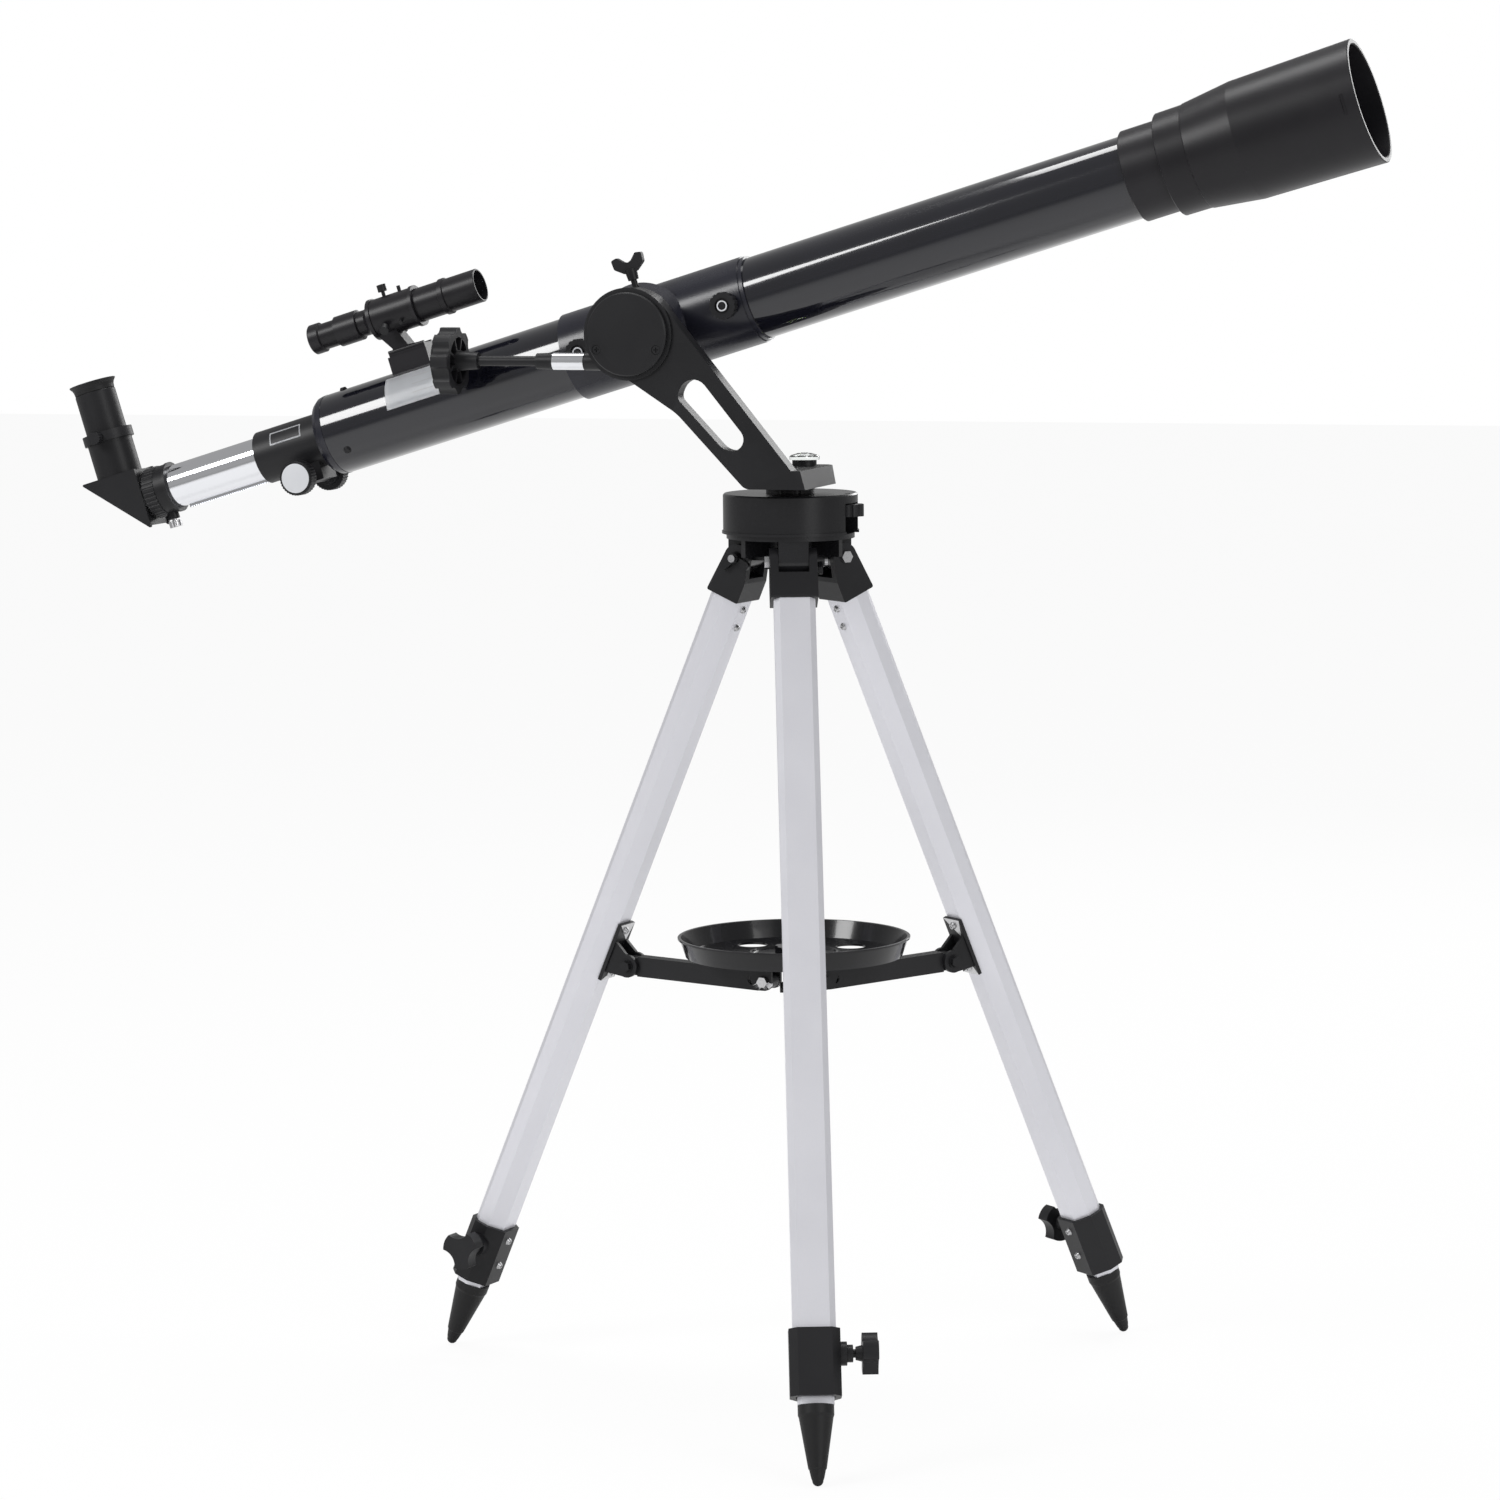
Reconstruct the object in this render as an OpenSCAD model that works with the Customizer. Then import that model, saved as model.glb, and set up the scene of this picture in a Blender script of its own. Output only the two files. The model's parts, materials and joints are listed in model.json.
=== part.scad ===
// Refracting telescope on an altazimuth single-arm mount and a folding aluminium tripod.
// Millimetres, +Z up. The origin is on the floor, on the azimuth axis.
// +X is the way the telescope points at rest, and the altitude axis runs along Y.

/* [Tripod] */
// Leg length, from hinge pin to foot tip
leg_length = 721; // [600:1:900]
// Angle of an opened leg from the vertical
leg_splay = 23.3; // [18:0.1:26]
// Direction of the first leg round the azimuth axis
leg_turn = -69.6; // [-90:0.1:90]
// Radius at which the legs are hinged
hinge_r = 38.9; // [34:0.1:46]
// Width of a leg tube
leg_w = 32.3; // [26:0.1:38]
// Depth of a leg tube, outer face to inner face
leg_d = 26; // [22:0.1:30]
// Wall of a leg tube
leg_wall = 1.6; // [1.2:0.1:2]
// Height of a clamp collar
collar_h = 51; // [40:1:60]
// Length of the sliding inner leg that stays inside
inner_leg_len = 470; // [350:5:480]

/* [Spreader and tray] */
// Distance from hinge pin to spreader pivot, along a leg
bracket_drop = 349; // [300:1:400]
// Distance of the spreader pivot from a leg's inner face
bracket_reach = 19.2; // [16:0.1:24]
// Radius of the inner pivots
hub_pivot_r = 23; // [21:0.5:27]
// How far the inner pivots lie below the outer ones
brace_sag = 4.5; // [3:0.1:8]
// Height of a brace channel
brace_h = 16; // [13:0.5:17]
// Width of a brace channel
brace_w = 12; // [10:0.5:14]
// Radius of the tray's rim
tray_r = 92.3; // [80:0.1:94]
// Depth of the tray
tray_depth = 15.4; // [12:0.1:20]
// Radius of the four holes in the tray
tray_hole_r = 12; // [8:0.5:13]

/* [Mount] */
// Radius of the tripod head's drum
head_r = 53; // [48:0.5:60]
// Height of the drum
head_h = 31.2; // [28:0.1:40]
// Height of the altitude axis above the drum
arm_rise = 126.2; // [120:0.1:140]
// Distance of the altitude axis behind the azimuth axis
arm_back = 109.7; // [104:0.1:120]
// Radius of the gear housing at the top of the arm
housing_r = 36; // [35:0.5:40]
// Width of the arm, across its plate
arm_w = 14; // [12:0.5:15]
// Thickness of the arm's foot
foot_h = 14.5; // [12:0.5:18]
// Radius of the azimuth spindle
spindle_r = 5; // [4:0.5:6]
// Radius of the altitude axle
axle_r = 8; // [6:0.5:10]
// Distance from altitude axle to worm
worm_drop = 21.6; // [20:0.1:23]
// Radius of the worm shaft
shaft_r = 3.65; // [3:0.05:4.2]
// Length of the slow motion control, knob included
control_len = 130; // [120:1:180]

/* [Optical tube] */
// Angle of the tube above the horizontal at rest
tube_tilt = 17; // [0:1:30]
// Outer radius of the main tube
tube_r = 32.5; // [28:0.1:36]
// Wall of the main tube
tube_wall = 1.3; // [1:0.1:2]
// Main tube ahead of the altitude axis
tube_front = 428; // [380:1:500]
// Main tube behind the altitude axis
tube_rear = 285; // [260:1:330]
// Length of the cradle ahead of the altitude axis
cradle_front = 86; // [78:1:110]
// Length of the cradle behind the altitude axis
cradle_rear = 70; // [66:1:90]
// Wall of the cradle sleeve
cradle_wall = 2.4; // [2:0.1:3]
// Radius of the dew shield's mouth
shield_r = 48.5; // [44:0.5:54]
// Length of the dew shield, ring and cone included
shield_len = 160; // [130:1:190]

/* [Focuser and eyepiece] */
// Outer radius of the drawtube
draw_r = 17.5; // [17.5:0.1:19]
// Chrome length that shows between focuser and collar
draw_out = 83; // [78:1:100]
// Radius of the focus knobs
focus_knob_r = 14; // [11:0.5:16]
// Outer radius of eyepiece and diagonal barrels
barrel_r = 15.875; // [15:0.005:16.2]
// Length of one side of the prism
prism_side = 40; // [34:1:41]
// Height of the eyepiece above its holder
eyepiece_h = 42; // [34:1:60]

/* [Finder] */
// Height of the finder's axis above the tube's axis
finder_rise = 78; // [72:0.5:90]
// Length of the finder
finder_len = 152; // [130:1:180]
// Radius of the finder's front tube
finder_r = 13.6; // [12:0.1:15]

/* [Hidden] */
$fn = 64;

// Fits: a part that turns or slides in another, and a part that is fixed in another
run = 0.05;
seat = 0.02;
// Free space between parts that pass each other
gap = 0.3;

// Heights of the tripod
tip_r = 4.2;
hinge_z = (leg_length - tip_r) * cos(leg_splay) + tip_r;
lug_top = 20;
lug_half = 11.7;
head_z = hinge_z + lug_top;
head_top = head_z + head_h;
pivot = [-arm_back, 0, head_top + arm_rise];

// Leg, in the leg's own frame: hinge pin at the origin, Z up the leg, X away from the tripod
socket_len = 33.5;
collar_top = -(leg_length - 116.3);
collar_bottom = collar_top - collar_h;
foot_top = collar_bottom - 5.5;
foot_tip = -leg_length;
knob_z = collar_top - 17.8;
inner_gap = 0.9;
face_out = leg_d * 0.49;
face_in = face_out - leg_d;

// Spreader pivots, as radius and height
out_r = hinge_r + bracket_drop * sin(leg_splay) - (bracket_reach - face_in) * cos(leg_splay);
out_z = hinge_z - bracket_drop * cos(leg_splay) - (bracket_reach - face_in) * sin(leg_splay);
in_z = out_z - brace_sag;
brace_len = norm([out_r - hub_pivot_r, brace_sag]);
brace_tilt = atan2(brace_sag, out_r - hub_pivot_r);
brace_pin_r = 2.5;
brace_slot = 12;
slot_r = brace_pin_r + 1.3;
ear_t = 3;
plate_z = in_z + 15;
tray_z = plate_z + 7;
tray_floor = 1.6;

// Mount, in the arm's frame: altitude axis at the origin
arm_near = -66.8;
arm_far = arm_near + arm_w;
housing_near = -68.6;
housing_far = -50.6;
cavity_far = -53.6;
cover_t = 4;
cover_r = housing_r - 3.4;
worm_y = -60.1;
worm_r = 4.6;
wheel_r = worm_drop - worm_r - gap;
foot_bottom = 6.6 - arm_rise;
foot_top_z = foot_bottom + foot_h;
foot_front = arm_back + 34;
foot_back = arm_back - 15.5;
foot_end_y = 22;
knee = [39, -61.4];
strut_front = 12.6;
strut_back = 8.6;
spindle_ring_r = 19.2;
level_at = [9, 9];
level_r = 9.6;
lock_at = [48.8, -3];
lock_r = 12;
lock_z = head_top - 17.6;
lock_h = 9.4;

// Optical tube frame: X along the tube from the altitude axis, Z across it
sleeve_r = tube_r + cradle_wall + run;
boss_y = housing_far + gap;
nut_at = [cradle_front - 13.5, -(cradle_rear - 17.3)];
nut_r = 10.7;
cell_r = tube_r + 3.4;
cell_back = tube_front - 22;
shield_back = tube_front + 7;
ring_r = cell_r + 4.6;
lens_r = tube_r - 2.4;
focus_r = draw_r + 3.9;
focus_front = -tube_rear - 3;
focus_back = -(tube_rear + 68);
pinion_x = focus_back + 37;
pinion_teeth = 16;
rack_pitch = 2;
pinion_r = pinion_teeth * rack_pitch / (2 * PI) + 0.5;
rack_h = 2.5;
rack_len = 145;
pinion_z = -(draw_r + rack_h + pinion_r + gap);
knob_face = 39;
draw_end = focus_back - draw_out - 9;
draw_front = -tube_rear + 42;
collar_back = draw_end - 12.5;
collar_r = draw_r + 3.3;
prism_x = collar_back - 24;
case_half = 19;
case_top = prism_side / 2 + 2.4;
holder_r = barrel_r + 2.7;
holder_top = case_top + 37.5;
holder_ring = 8;

// Finder, in the optical tube's frame
finder_front = -131;
finder_back = finder_front - finder_len;
ring_front = finder_front - 55;
ring_back = ring_front - 41;
shoe_front = -188;
shoe_len = 32;

// ---------------------------------------------------------------- helpers

// Cylinder along X, from x0 to x1
module rod_x(x0, x1, r, r2 = undef) {
    translate([x0, 0, 0]) rotate([0, 90, 0]) cylinder(h = x1 - x0, r1 = r, r2 = is_undef(r2) ? r : r2);
}

// Cylinder along Y, from y0 to y1
module rod_y(y0, y1, r, r2 = undef) {
    translate([0, y0, 0]) rotate([-90, 0, 0]) cylinder(h = y1 - y0, r1 = r, r2 = is_undef(r2) ? r : r2);
}

// Solid turned about X: each point is [radius, x]
module turned_x(profile) {
    rotate([0, 90, 0]) rotate_extrude() polygon(profile);
}

// Outline in X and Z, drawn out along Y from y0 to y1
module plate_y(y0, y1) {
    translate([0, y1, 0]) rotate([90, 0, 0]) linear_extrude(height = y1 - y0) children();
}

// Corner of an outline, rounded by an arc of radius r
function corner(a, b, c, r, n = 8) =
    let (u = (a - b) / norm(a - b), v = (c - b) / norm(c - b),
        half = acos(u * v) / 2, d = r / tan(half),
        m = b + (u + v) / norm(u + v) * (r / sin(half)),
        p = b + u * d - m, q = b + v * d - m,
        a0 = atan2(p[1], p[0]), da = atan2(p[0] * q[1] - p[1] * q[0], p * q))
    [for (i = [0:n]) m + r * [cos(a0 + da * i / n), sin(a0 + da * i / n)]];

// Closed outline with each corner rounded by its own radius
function rounded(pts, radii) =
    let (n = len(pts))
    [for (i = [0:n - 1]) each (radii[i] == 0 ? [pts[i]]
        : corner(pts[(i + n - 1) % n], pts[i], pts[(i + 1) % n], radii[i]))];

// Grip with dents round its edge, along Z
module lobed(r, h, lobes, dent, depth) {
    difference() {
        cylinder(h = h, r = r);
        for (i = [0:lobes - 1]) rotate([0, 0, (i + 0.5) * 360 / lobes])
            translate([r + dent - depth, 0, -1]) cylinder(h = h + 2, r = dent, $fn = 32);
    }
}

// Hexagon head or nut along Z, across its corners
module hex(r, h) {
    cylinder(h = h, r = r, $fn = 6);
}

// Places its children in the optical tube's frame
module on_tube() {
    translate(pivot) rotate([0, -tube_tilt, 0]) children();
}

// Places its children at a tripod side, radius along X
module on_side(k) {
    rotate([0, 0, leg_turn + 120 * (k - 1)]) children();
}

// Places its children in a leg's frame
module on_leg(k) {
    on_side(k) translate([hinge_r, 0, hinge_z]) rotate([0, -leg_splay, 0]) children();
}

// Eight-sided leg section, drawn in by d on every side
function leg_section(d) =
    let (w = leg_w / 2, c = 4.5,
        pts = [[face_out, w - c], [face_out - c, w], [face_out - c - 10, w], [face_in, w - 6.9],
            [face_in, 6.9 - w], [face_out - c - 10, -w], [face_out - c, -w], [face_out, c - w]])
    inset(pts, d);

// Outline moved inwards by d, for a convex outline listed anticlockwise
function inset(pts, d) =
    let (n = len(pts), turn = [for (i = [0:n - 1])
        let (e = pts[(i + 1) % n] - pts[i], u = e / norm(e)) [-u[1], u[0]]])
    [for (i = [0:n - 1])
        let (a = turn[(i + n - 1) % n], b = turn[i], p = pts[i],
            ka = a * p + d, kb = b * p + d, det = a[0] * b[1] - a[1] * b[0])
        [(ka * b[1] - kb * a[1]) / det, (a[0] * kb - b[0] * ka) / det]];

// ---------------------------------------------------------------- tripod head

module tripod_head() {
    color("#1c1b1f") difference() {
        union() {
            translate([0, 0, head_z]) cylinder(h = head_h - 1.2, r = head_r, $fn = 128);
            translate([0, 0, head_top - 1.2]) cylinder(h = 1.2, r1 = head_r, r2 = head_r - 1.2, $fn = 128);
            translate([0, 0, head_z]) cylinder(h = 2, r = head_r + 0.9, $fn = 128);
        }
        difference() {
            translate([0, 0, head_z - 1]) cylinder(h = head_h - 5, r = head_r - 3.2, $fn = 128);
            translate([0, 0, head_z - 2]) cylinder(h = head_h, r = spindle_r + 11);
            translate([lock_at[0] - 18, lock_at[1] - lock_r - 5, head_z - 2])
                cube([30, 2 * lock_r + 10, head_h]);
            for (k = [1:3]) on_side(k) translate([-1, -2, head_z - 2]) cube([head_r, 4, head_h]);
        }
        translate([0, 0, head_z - 1]) cylinder(h = head_h + 2, r = spindle_r + run);
        translate([lock_at[0] - 14, lock_at[1] - lock_r - 1.6, head_z - 1])
            cube([40, 2 * lock_r + 3.2, lock_z + lock_h + 1 - head_z + 1]);
        translate([lock_at[0], lock_at[1], lock_z]) cylinder(h = 30, r = 3 + run);
    }
}

module lug(k) {
    on_side(k) difference() {
        union() {
            translate([hinge_r, 0, hinge_z]) rod_y(-lug_half, lug_half, 10.4);
            translate([8, -lug_half, hinge_z]) cube([hinge_r + 10.4 - 8, 2 * lug_half, lug_top - 3.4]);
            translate([8, -lug_half, hinge_z - 2]) cube([hinge_r - 8, 2 * lug_half, 6]);
        }
        translate([hinge_r, 0, hinge_z]) rod_y(-13, 13, 3 + run);
    }
}

module head_spider() {
    color("#151417") difference() {
        union() {
            translate([0, 0, head_z - 4]) cylinder(h = 4, r = head_r - 2.6, $fn = 128);
            translate([0, 0, hinge_z - 8]) cylinder(h = lug_top + 6, r = spindle_r + 16);
            for (k = [1:3]) {
                lug(k);
                on_side(k) rotate([0, 0, 60]) translate([8, -3, hinge_z + 2]) cube([36, 6, lug_top - 5]);
            }
        }
        translate([0, 0, hinge_z - 30]) cylinder(h = 60, r = spindle_r + 9);
    }
}

// A hinge pin with a hexagon head at one end and a wing nut at the other
module hinge_bolt(k) {
    on_side(k) translate([hinge_r, 0, hinge_z]) {
        rod_y(-18.9, 27, 3);
        translate([0, -18.7, 0]) rotate([90, 0, 0]) hex(5, 3.6);
        rod_y(18.7, 24.5, 5.2, 4.2);
        for (side = [-1, 1]) rotate([0, 90 + side * 58, 0])
            plate_y(19.4, 22.6) polygon(rounded([[2, -2.6], [14.5, -3.6], [14.5, 3.6], [2, 2.6]], [0, 3, 3, 0]));
    }
}

module hinge_bolts() {
    color("#8d8f94") for (k = [1:3]) hinge_bolt(k);
}

module azimuth_lock_knob() {
    color("#1a191c") translate([lock_at[0], lock_at[1], lock_z]) {
        lobed(lock_r, lock_h, 8, 3.4, 1.5);
        cylinder(h = head_top - lock_z - 1, r = 3);
    }
}

// ---------------------------------------------------------------- mount arm

// Side view of the arm, altitude axis at the origin
module arm_outline() {
    lean = [foot_front, foot_bottom];
    reach = norm(lean);
    turn = atan2(lean[1], lean[0]) + acos(housing_r / reach);
    touch = housing_r * [cos(turn), sin(turn)];
    down = (lean - touch) / norm(lean - touch);
    side = [down[1], -down[0]];
    back = ([foot_back, foot_bottom] - knee) / norm([foot_back, foot_bottom] - knee);
    inner = [-back[1], back[0]];
    circle(r = housing_r, $fn = 128);
    difference() {
        polygon(rounded([[0, 0], [0, -housing_r], knee, [foot_back, foot_bottom], lean, touch],
            [0, 0, 45, 9, 3, 0]));
        polygon(rounded([knee + inner * strut_back - back * 9, touch + side * strut_front + down * 50,
            touch + side * strut_front + down * (norm(lean - touch) - 47),
            knee + inner * strut_back + back * (norm([foot_back, foot_bottom] - knee) - 33)],
            [7, 12, 9, 14]));
    }
}

module mount_arm() {
    color("#232225") translate(pivot) difference() {
        union() {
            plate_y(arm_near, arm_far) arm_outline();
            rod_y(housing_near, housing_far, housing_r, $fn = 128);
            plate_y(arm_near, foot_end_y) polygon([[foot_back + 2, foot_bottom], [foot_front - 0.5, foot_bottom],
                [foot_front - 4.5, foot_top_z], [foot_back - 4, foot_top_z]]);
            translate([arm_back, 0, foot_bottom - 3]) cylinder(h = 4, r1 = spindle_r + 9, r2 = spindle_r + 13);
            translate([0, worm_y, -worm_drop]) rod_x(-housing_r - 1.5, 0, shaft_r + 3.4);
        }
        rod_y(housing_near - 1, cavity_far, housing_r - 8.5, $fn = 96);
        rod_y(housing_near - 1, housing_far + 1, axle_r + run);
        translate([0, worm_y, -worm_drop]) rod_x(-housing_r - 4, 24, shaft_r + run);
        translate([arm_back, 0, foot_bottom - 6]) cylinder(h = foot_h + 3, r = spindle_r + seat);
        for (x = [-24.5, 24.5]) translate([x, 0, -12]) rod_y(housing_near - 1, housing_near + 9, 1.5);
        for (x = [-1, 1]) translate([arm_back + x * 40, foot_end_y, foot_bottom - 5]) rotate([0, 0, 45])
            translate([-11, -11, 0]) cube([22, 22, foot_h + 10]);
    }
}

module azimuth_spindle() {
    color("#161518") translate([0, 0, head_z - 6]) {
        cylinder(h = head_h + 17, r = spindle_r);
        translate([0, 0, -3]) hex(8, 6 - 2.4);
    }
    color("#161518") translate([0, 0, head_top + gap / 3]) difference() {
        lobed(spindle_ring_r, 3.3 - gap / 3, 10, 4, 1.2);
        translate([0, 0, -1]) cylinder(h = 8, r = spindle_r + run);
    }
}

module level_case() {
    color("#101012") translate([level_at[0], level_at[1], pivot[2] + foot_top_z]) difference() {
        cylinder(h = 4.4, r = level_r);
        translate([0, 0, 1.4]) cylinder(h = 6, r = level_r - 2);
    }
}

module level_window() {
    color("#dfe6e6") translate([level_at[0], level_at[1], pivot[2] + foot_top_z + 4.4])
        rotate_extrude() polygon([[0, -2.6], [level_r - 2.1, -2.6], [level_r - 2.1, 0], [level_r + 2.2, 0],
            [level_r + 2.4, 2.4], [level_r + 0.8, 3.6], [6, 5], [0, 5.4]]);
}

module gear_cover() {
    color("#2a292c") translate(pivot) difference() {
        union() {
            rod_y(housing_near - cover_t + 1, housing_near, cover_r, $fn = 128);
            rod_y(housing_near - cover_t, housing_near - cover_t + 1, cover_r - 1, cover_r, $fn = 128);
        }
        for (x = [-24.5, 24.5]) translate([x, 0, -12]) {
            rod_y(housing_near - cover_t - 1, housing_near + 1, 1.6);
            rod_y(housing_near - cover_t - 1, housing_near - cover_t + 2.4, 3.6);
        }
    }
}

module cover_screws() {
    color("#0d0d0e") translate(pivot) for (x = [-24.5, 24.5]) translate([x, 0, -12]) difference() {
        union() {
            rod_y(housing_near - cover_t + 0.4, housing_near - cover_t + 2.4, 3.3);
            rod_y(housing_near - cover_t + 2, housing_near + 8, 1.48);
        }
        for (turn = [0, 90]) rotate([0, turn, 0])
            translate([-2, housing_near - cover_t - 1, -0.4]) cube([4, 2.4, 0.8]);
    }
}

module worm_shaft() {
    color("#c9ccd0") translate(pivot + [0, worm_y, -worm_drop]) {
        rod_x(-39, 23, shaft_r);
        for (i = [-2:2]) translate([i * 2.6, 0, 0]) rod_x(-0.9, 0, shaft_r - 0.2, worm_r);
        for (i = [-2:2]) translate([i * 2.6, 0, 0]) rod_x(0, 0.9, worm_r, shaft_r - 0.2);
        difference() {
            rod_x(-64, -38.2, 6.8);
            rod_x(-65, -50, 4 + seat);
        }
    }
}

module control_handle() {
    grip = -control_len - 28;
    color("#1a1a1d") translate(pivot + [0, worm_y, -worm_drop]) {
        rod_x(grip + 20, -51, 4);
        difference() {
            union() {
                rod_x(-78, -64 - gap, 6.2, 6.7);
            }
            rod_x(-80, -60, 4 + seat);
        }
        difference() {
            union() {
                translate([grip, 0, 0]) rotate([0, 90, 0]) lobed(26.3, 14, 8, 9, 3.4);
                translate([grip - 1.4, 0, 0]) rod_x(0, 1.4, 22, 23.4);
                rod_x(grip + 13, grip + 31, 8, 6.6);
            }
            rod_x(grip + 8, grip + 32, 4 + seat);
            translate([grip + 5, 0, 0]) rotate([0, 90, 0]) difference() {
                cylinder(h = 12, r = 18.6);
                cylinder(h = 12, r = 8.6);
                for (i = [0:3]) rotate([0, 0, 45 * i + 22.5]) translate([-20, -1, 0]) cube([40, 2, 12]);
            }
        }
    }
}

// ---------------------------------------------------------------- cradle and tube

lock_x = 7;
lock_y = -37.5;

module altitude_lock_screw() {
    color("#17161a") on_tube() translate([lock_x, lock_y, 0]) {
        translate([0, 0, 21]) cylinder(h = 22, r = 2.5);
        translate([0, 0, 41]) cylinder(h = 8.5, r1 = 4.2, r2 = 5);
        for (side = [-1, 1]) plate_y(-2.6, 2.6)
            polygon([for (p = rounded([[0, 47], [5, 47], [12.4, 52.5], [13, 60], [8, 61], [3, 56], [0, 55]],
                [0, 2, 3, 1.6, 1.6, 3, 0])) [side * p[0], p[1]]]);
    }
}

module cradle() {
    color("#28282d") on_tube() difference() {
        union() {
            rod_x(-cradle_rear, cradle_front, sleeve_r, $fn = 128);
            rod_x(cradle_front, cradle_front + 3.4, sleeve_r - 0.9, $fn = 128);
            rod_y(boss_y, 0, housing_r - 2.2, $fn = 128);
            rod_y(boss_y + 8, boss_y + 20, housing_r - 2.2, housing_r + 3, $fn = 128);
            for (x = nut_at) translate([x, 0, 0]) rod_y(-sleeve_r - 1, 0, 9);
        }
        rod_x(-cradle_rear - 1, cradle_front + 9, tube_r + run, $fn = 128);
        rod_y(boss_y - 1, boss_y + 6.5, axle_r + seat);
        for (x = nut_at) translate([x, 0, 0]) rod_y(-sleeve_r - 3, 0, 2.5 + run);
        translate([lock_x, lock_y, 20]) cylinder(h = 40, r = 2.5 + run);
        translate([-cradle_rear - 1, tube_r - 10, -1.2]) cube([cradle_rear + cradle_front + 20, 20, 2.4]);
    }
}

module altitude_axle() {
    color("#b9bbbf") translate(pivot) difference() {
        union() {
            rod_y(housing_near + 2, boss_y + 6.3, axle_r);
            plate_y(worm_y - 4.5, worm_y + 4.5) difference() {
                circle(r = wheel_r, $fn = 96);
                for (i = [0:39]) rotate(i * 9) translate([wheel_r + 0.2, 0]) circle(r = 0.9, $fn = 16);
            }
        }
        rod_y(housing_near, housing_near + 12, 2.5);
    }
}

module cradle_knob(x) {
    on_tube() translate([x, 0, 0]) {
        rod_y(-sleeve_r - 9.6, -tube_r - gap, 2.5);
        difference() {
            translate([0, -sleeve_r - 1.3, 0]) rotate([90, 0, 0]) lobed(nut_r, 7.6, 16, 1.6, 0.7);
            rod_y(-sleeve_r - 10, -sleeve_r - 7.4, 6);
        }
        difference() {
            rod_y(-sleeve_r - 9.2, -sleeve_r - 7, 4.3);
            rod_y(-sleeve_r - 10, -sleeve_r - 8, 2.9);
        }
    }
}

module cradle_knob_front() {
    color("#1b1a1d") cradle_knob(nut_at[0]);
}

module cradle_knob_rear() {
    color("#1b1a1d") cradle_knob(nut_at[1]);
}

module main_tube() {
    color("#0e0e14") on_tube() difference() {
        rod_x(-tube_rear, tube_front, tube_r, $fn = 128);
        rod_x(-tube_rear - 1, tube_front + 1, tube_r - tube_wall, $fn = 128);
        for (a = [0, 120, 240]) rotate([a, 0, 0]) translate([-tube_rear + 15, 0, 0]) cylinder(h = 50, r = 1.6);
    }
}

module rear_cell() {
    inside = tube_r - tube_wall - seat;
    color("#131316") on_tube() difference() {
        turned_x([[focus_r + seat, -tube_rear + 22], [focus_r + seat, -tube_rear - 10],
            [tube_r - 7.5, -tube_rear - 10], [tube_r - 3.2, -tube_rear - 8.6], [tube_r - 0.6, -tube_rear - 5],
            [tube_r + 0.3, -tube_rear - seat], [inside, -tube_rear - seat], [inside, -tube_rear + 22],
            [inside - 3, -tube_rear + 22], [inside - 3, -tube_rear], [focus_r + 4, -tube_rear],
            [focus_r + 4, -tube_rear + 22]]);
        for (a = [0, 120, 240]) rotate([a, 0, 0]) translate([-tube_rear + 15, 0, 0]) cylinder(h = 50, r = 1.3);
    }
}

module tube_screws() {
    color("#232226") on_tube() {
        for (a = [0, 120, 240]) rotate([a, 0, 0]) translate([-tube_rear + 15, 0, 0]) {
            translate([0, 0, tube_r - 3.5]) cylinder(h = 4, r = 1.28);
            translate([0, 0, tube_r + 0.1]) cylinder(h = 1.9, r1 = 3.2, r2 = 2.2);
        }
        for (x = [ring_back + 14, ring_front - 13], a = [0, 120, 240])
            translate([x, 0, finder_rise]) rotate([a, 0, 0]) {
                translate([0, 0, finder_r + seat]) cylinder(h = 6.6, r = 1.5);
                if (x < ring_front - 20) translate([0, 0, finder_r + 6]) cylinder(h = 5.6, r = 3.7);
            }
    }
}

module focuser_body() {
    color("#141417") on_tube() difference() {
        union() {
            rod_x(focus_back, -tube_rear + 20, focus_r, $fn = 96);
            translate([pinion_x - 13, -13.5, pinion_z - 5.5]) cube([26, 27, -pinion_z - draw_r + 9]);
            translate([pinion_x, 0, pinion_z]) rod_y(-24, 24, 6.2);
        }
        rod_x(focus_back - 1, -tube_rear + 21, draw_r + run, $fn = 96);
        translate([focus_back - 1, -3.4, -draw_r - rack_h - 0.4]) cube([100, 6.8, rack_h + 4]);
        translate([pinion_x, 0, pinion_z]) rod_y(-40, 40, 2.5 + run);
        translate([pinion_x, 0, pinion_z]) rod_y(-5.2, 5.2, pinion_r + gap);
    }
}

module lens_cell() {
    color("#1d1d21") on_tube() difference() {
        union() {
            rod_x(cell_back, shield_back + 20, cell_r, $fn = 128);
            rod_x(cell_back - 1, cell_back, cell_r - 1, cell_r, $fn = 128);
        }
        rod_x(cell_back - 2, tube_front + seat, tube_r + seat, $fn = 128);
        rod_x(tube_front - 1, shield_back + 21, lens_r - 2, $fn = 128);
        rod_x(tube_front + 2.6, tube_front + 11, lens_r + seat, $fn = 128);
        rod_x(tube_front + 10, shield_back + 21, lens_r + 1.6, $fn = 128);
    }
}

module objective_lens() {
    rear = tube_front + 2.62;
    color("#b7c4cf") on_tube() turned_x([[0, rear + 1.2], [10, rear + 1], [20, rear + 0.6], [lens_r, rear],
        [lens_r, rear + 6.6], [20, rear + 8], [10, rear + 8.9], [0, rear + 9.2]]);
}

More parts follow.
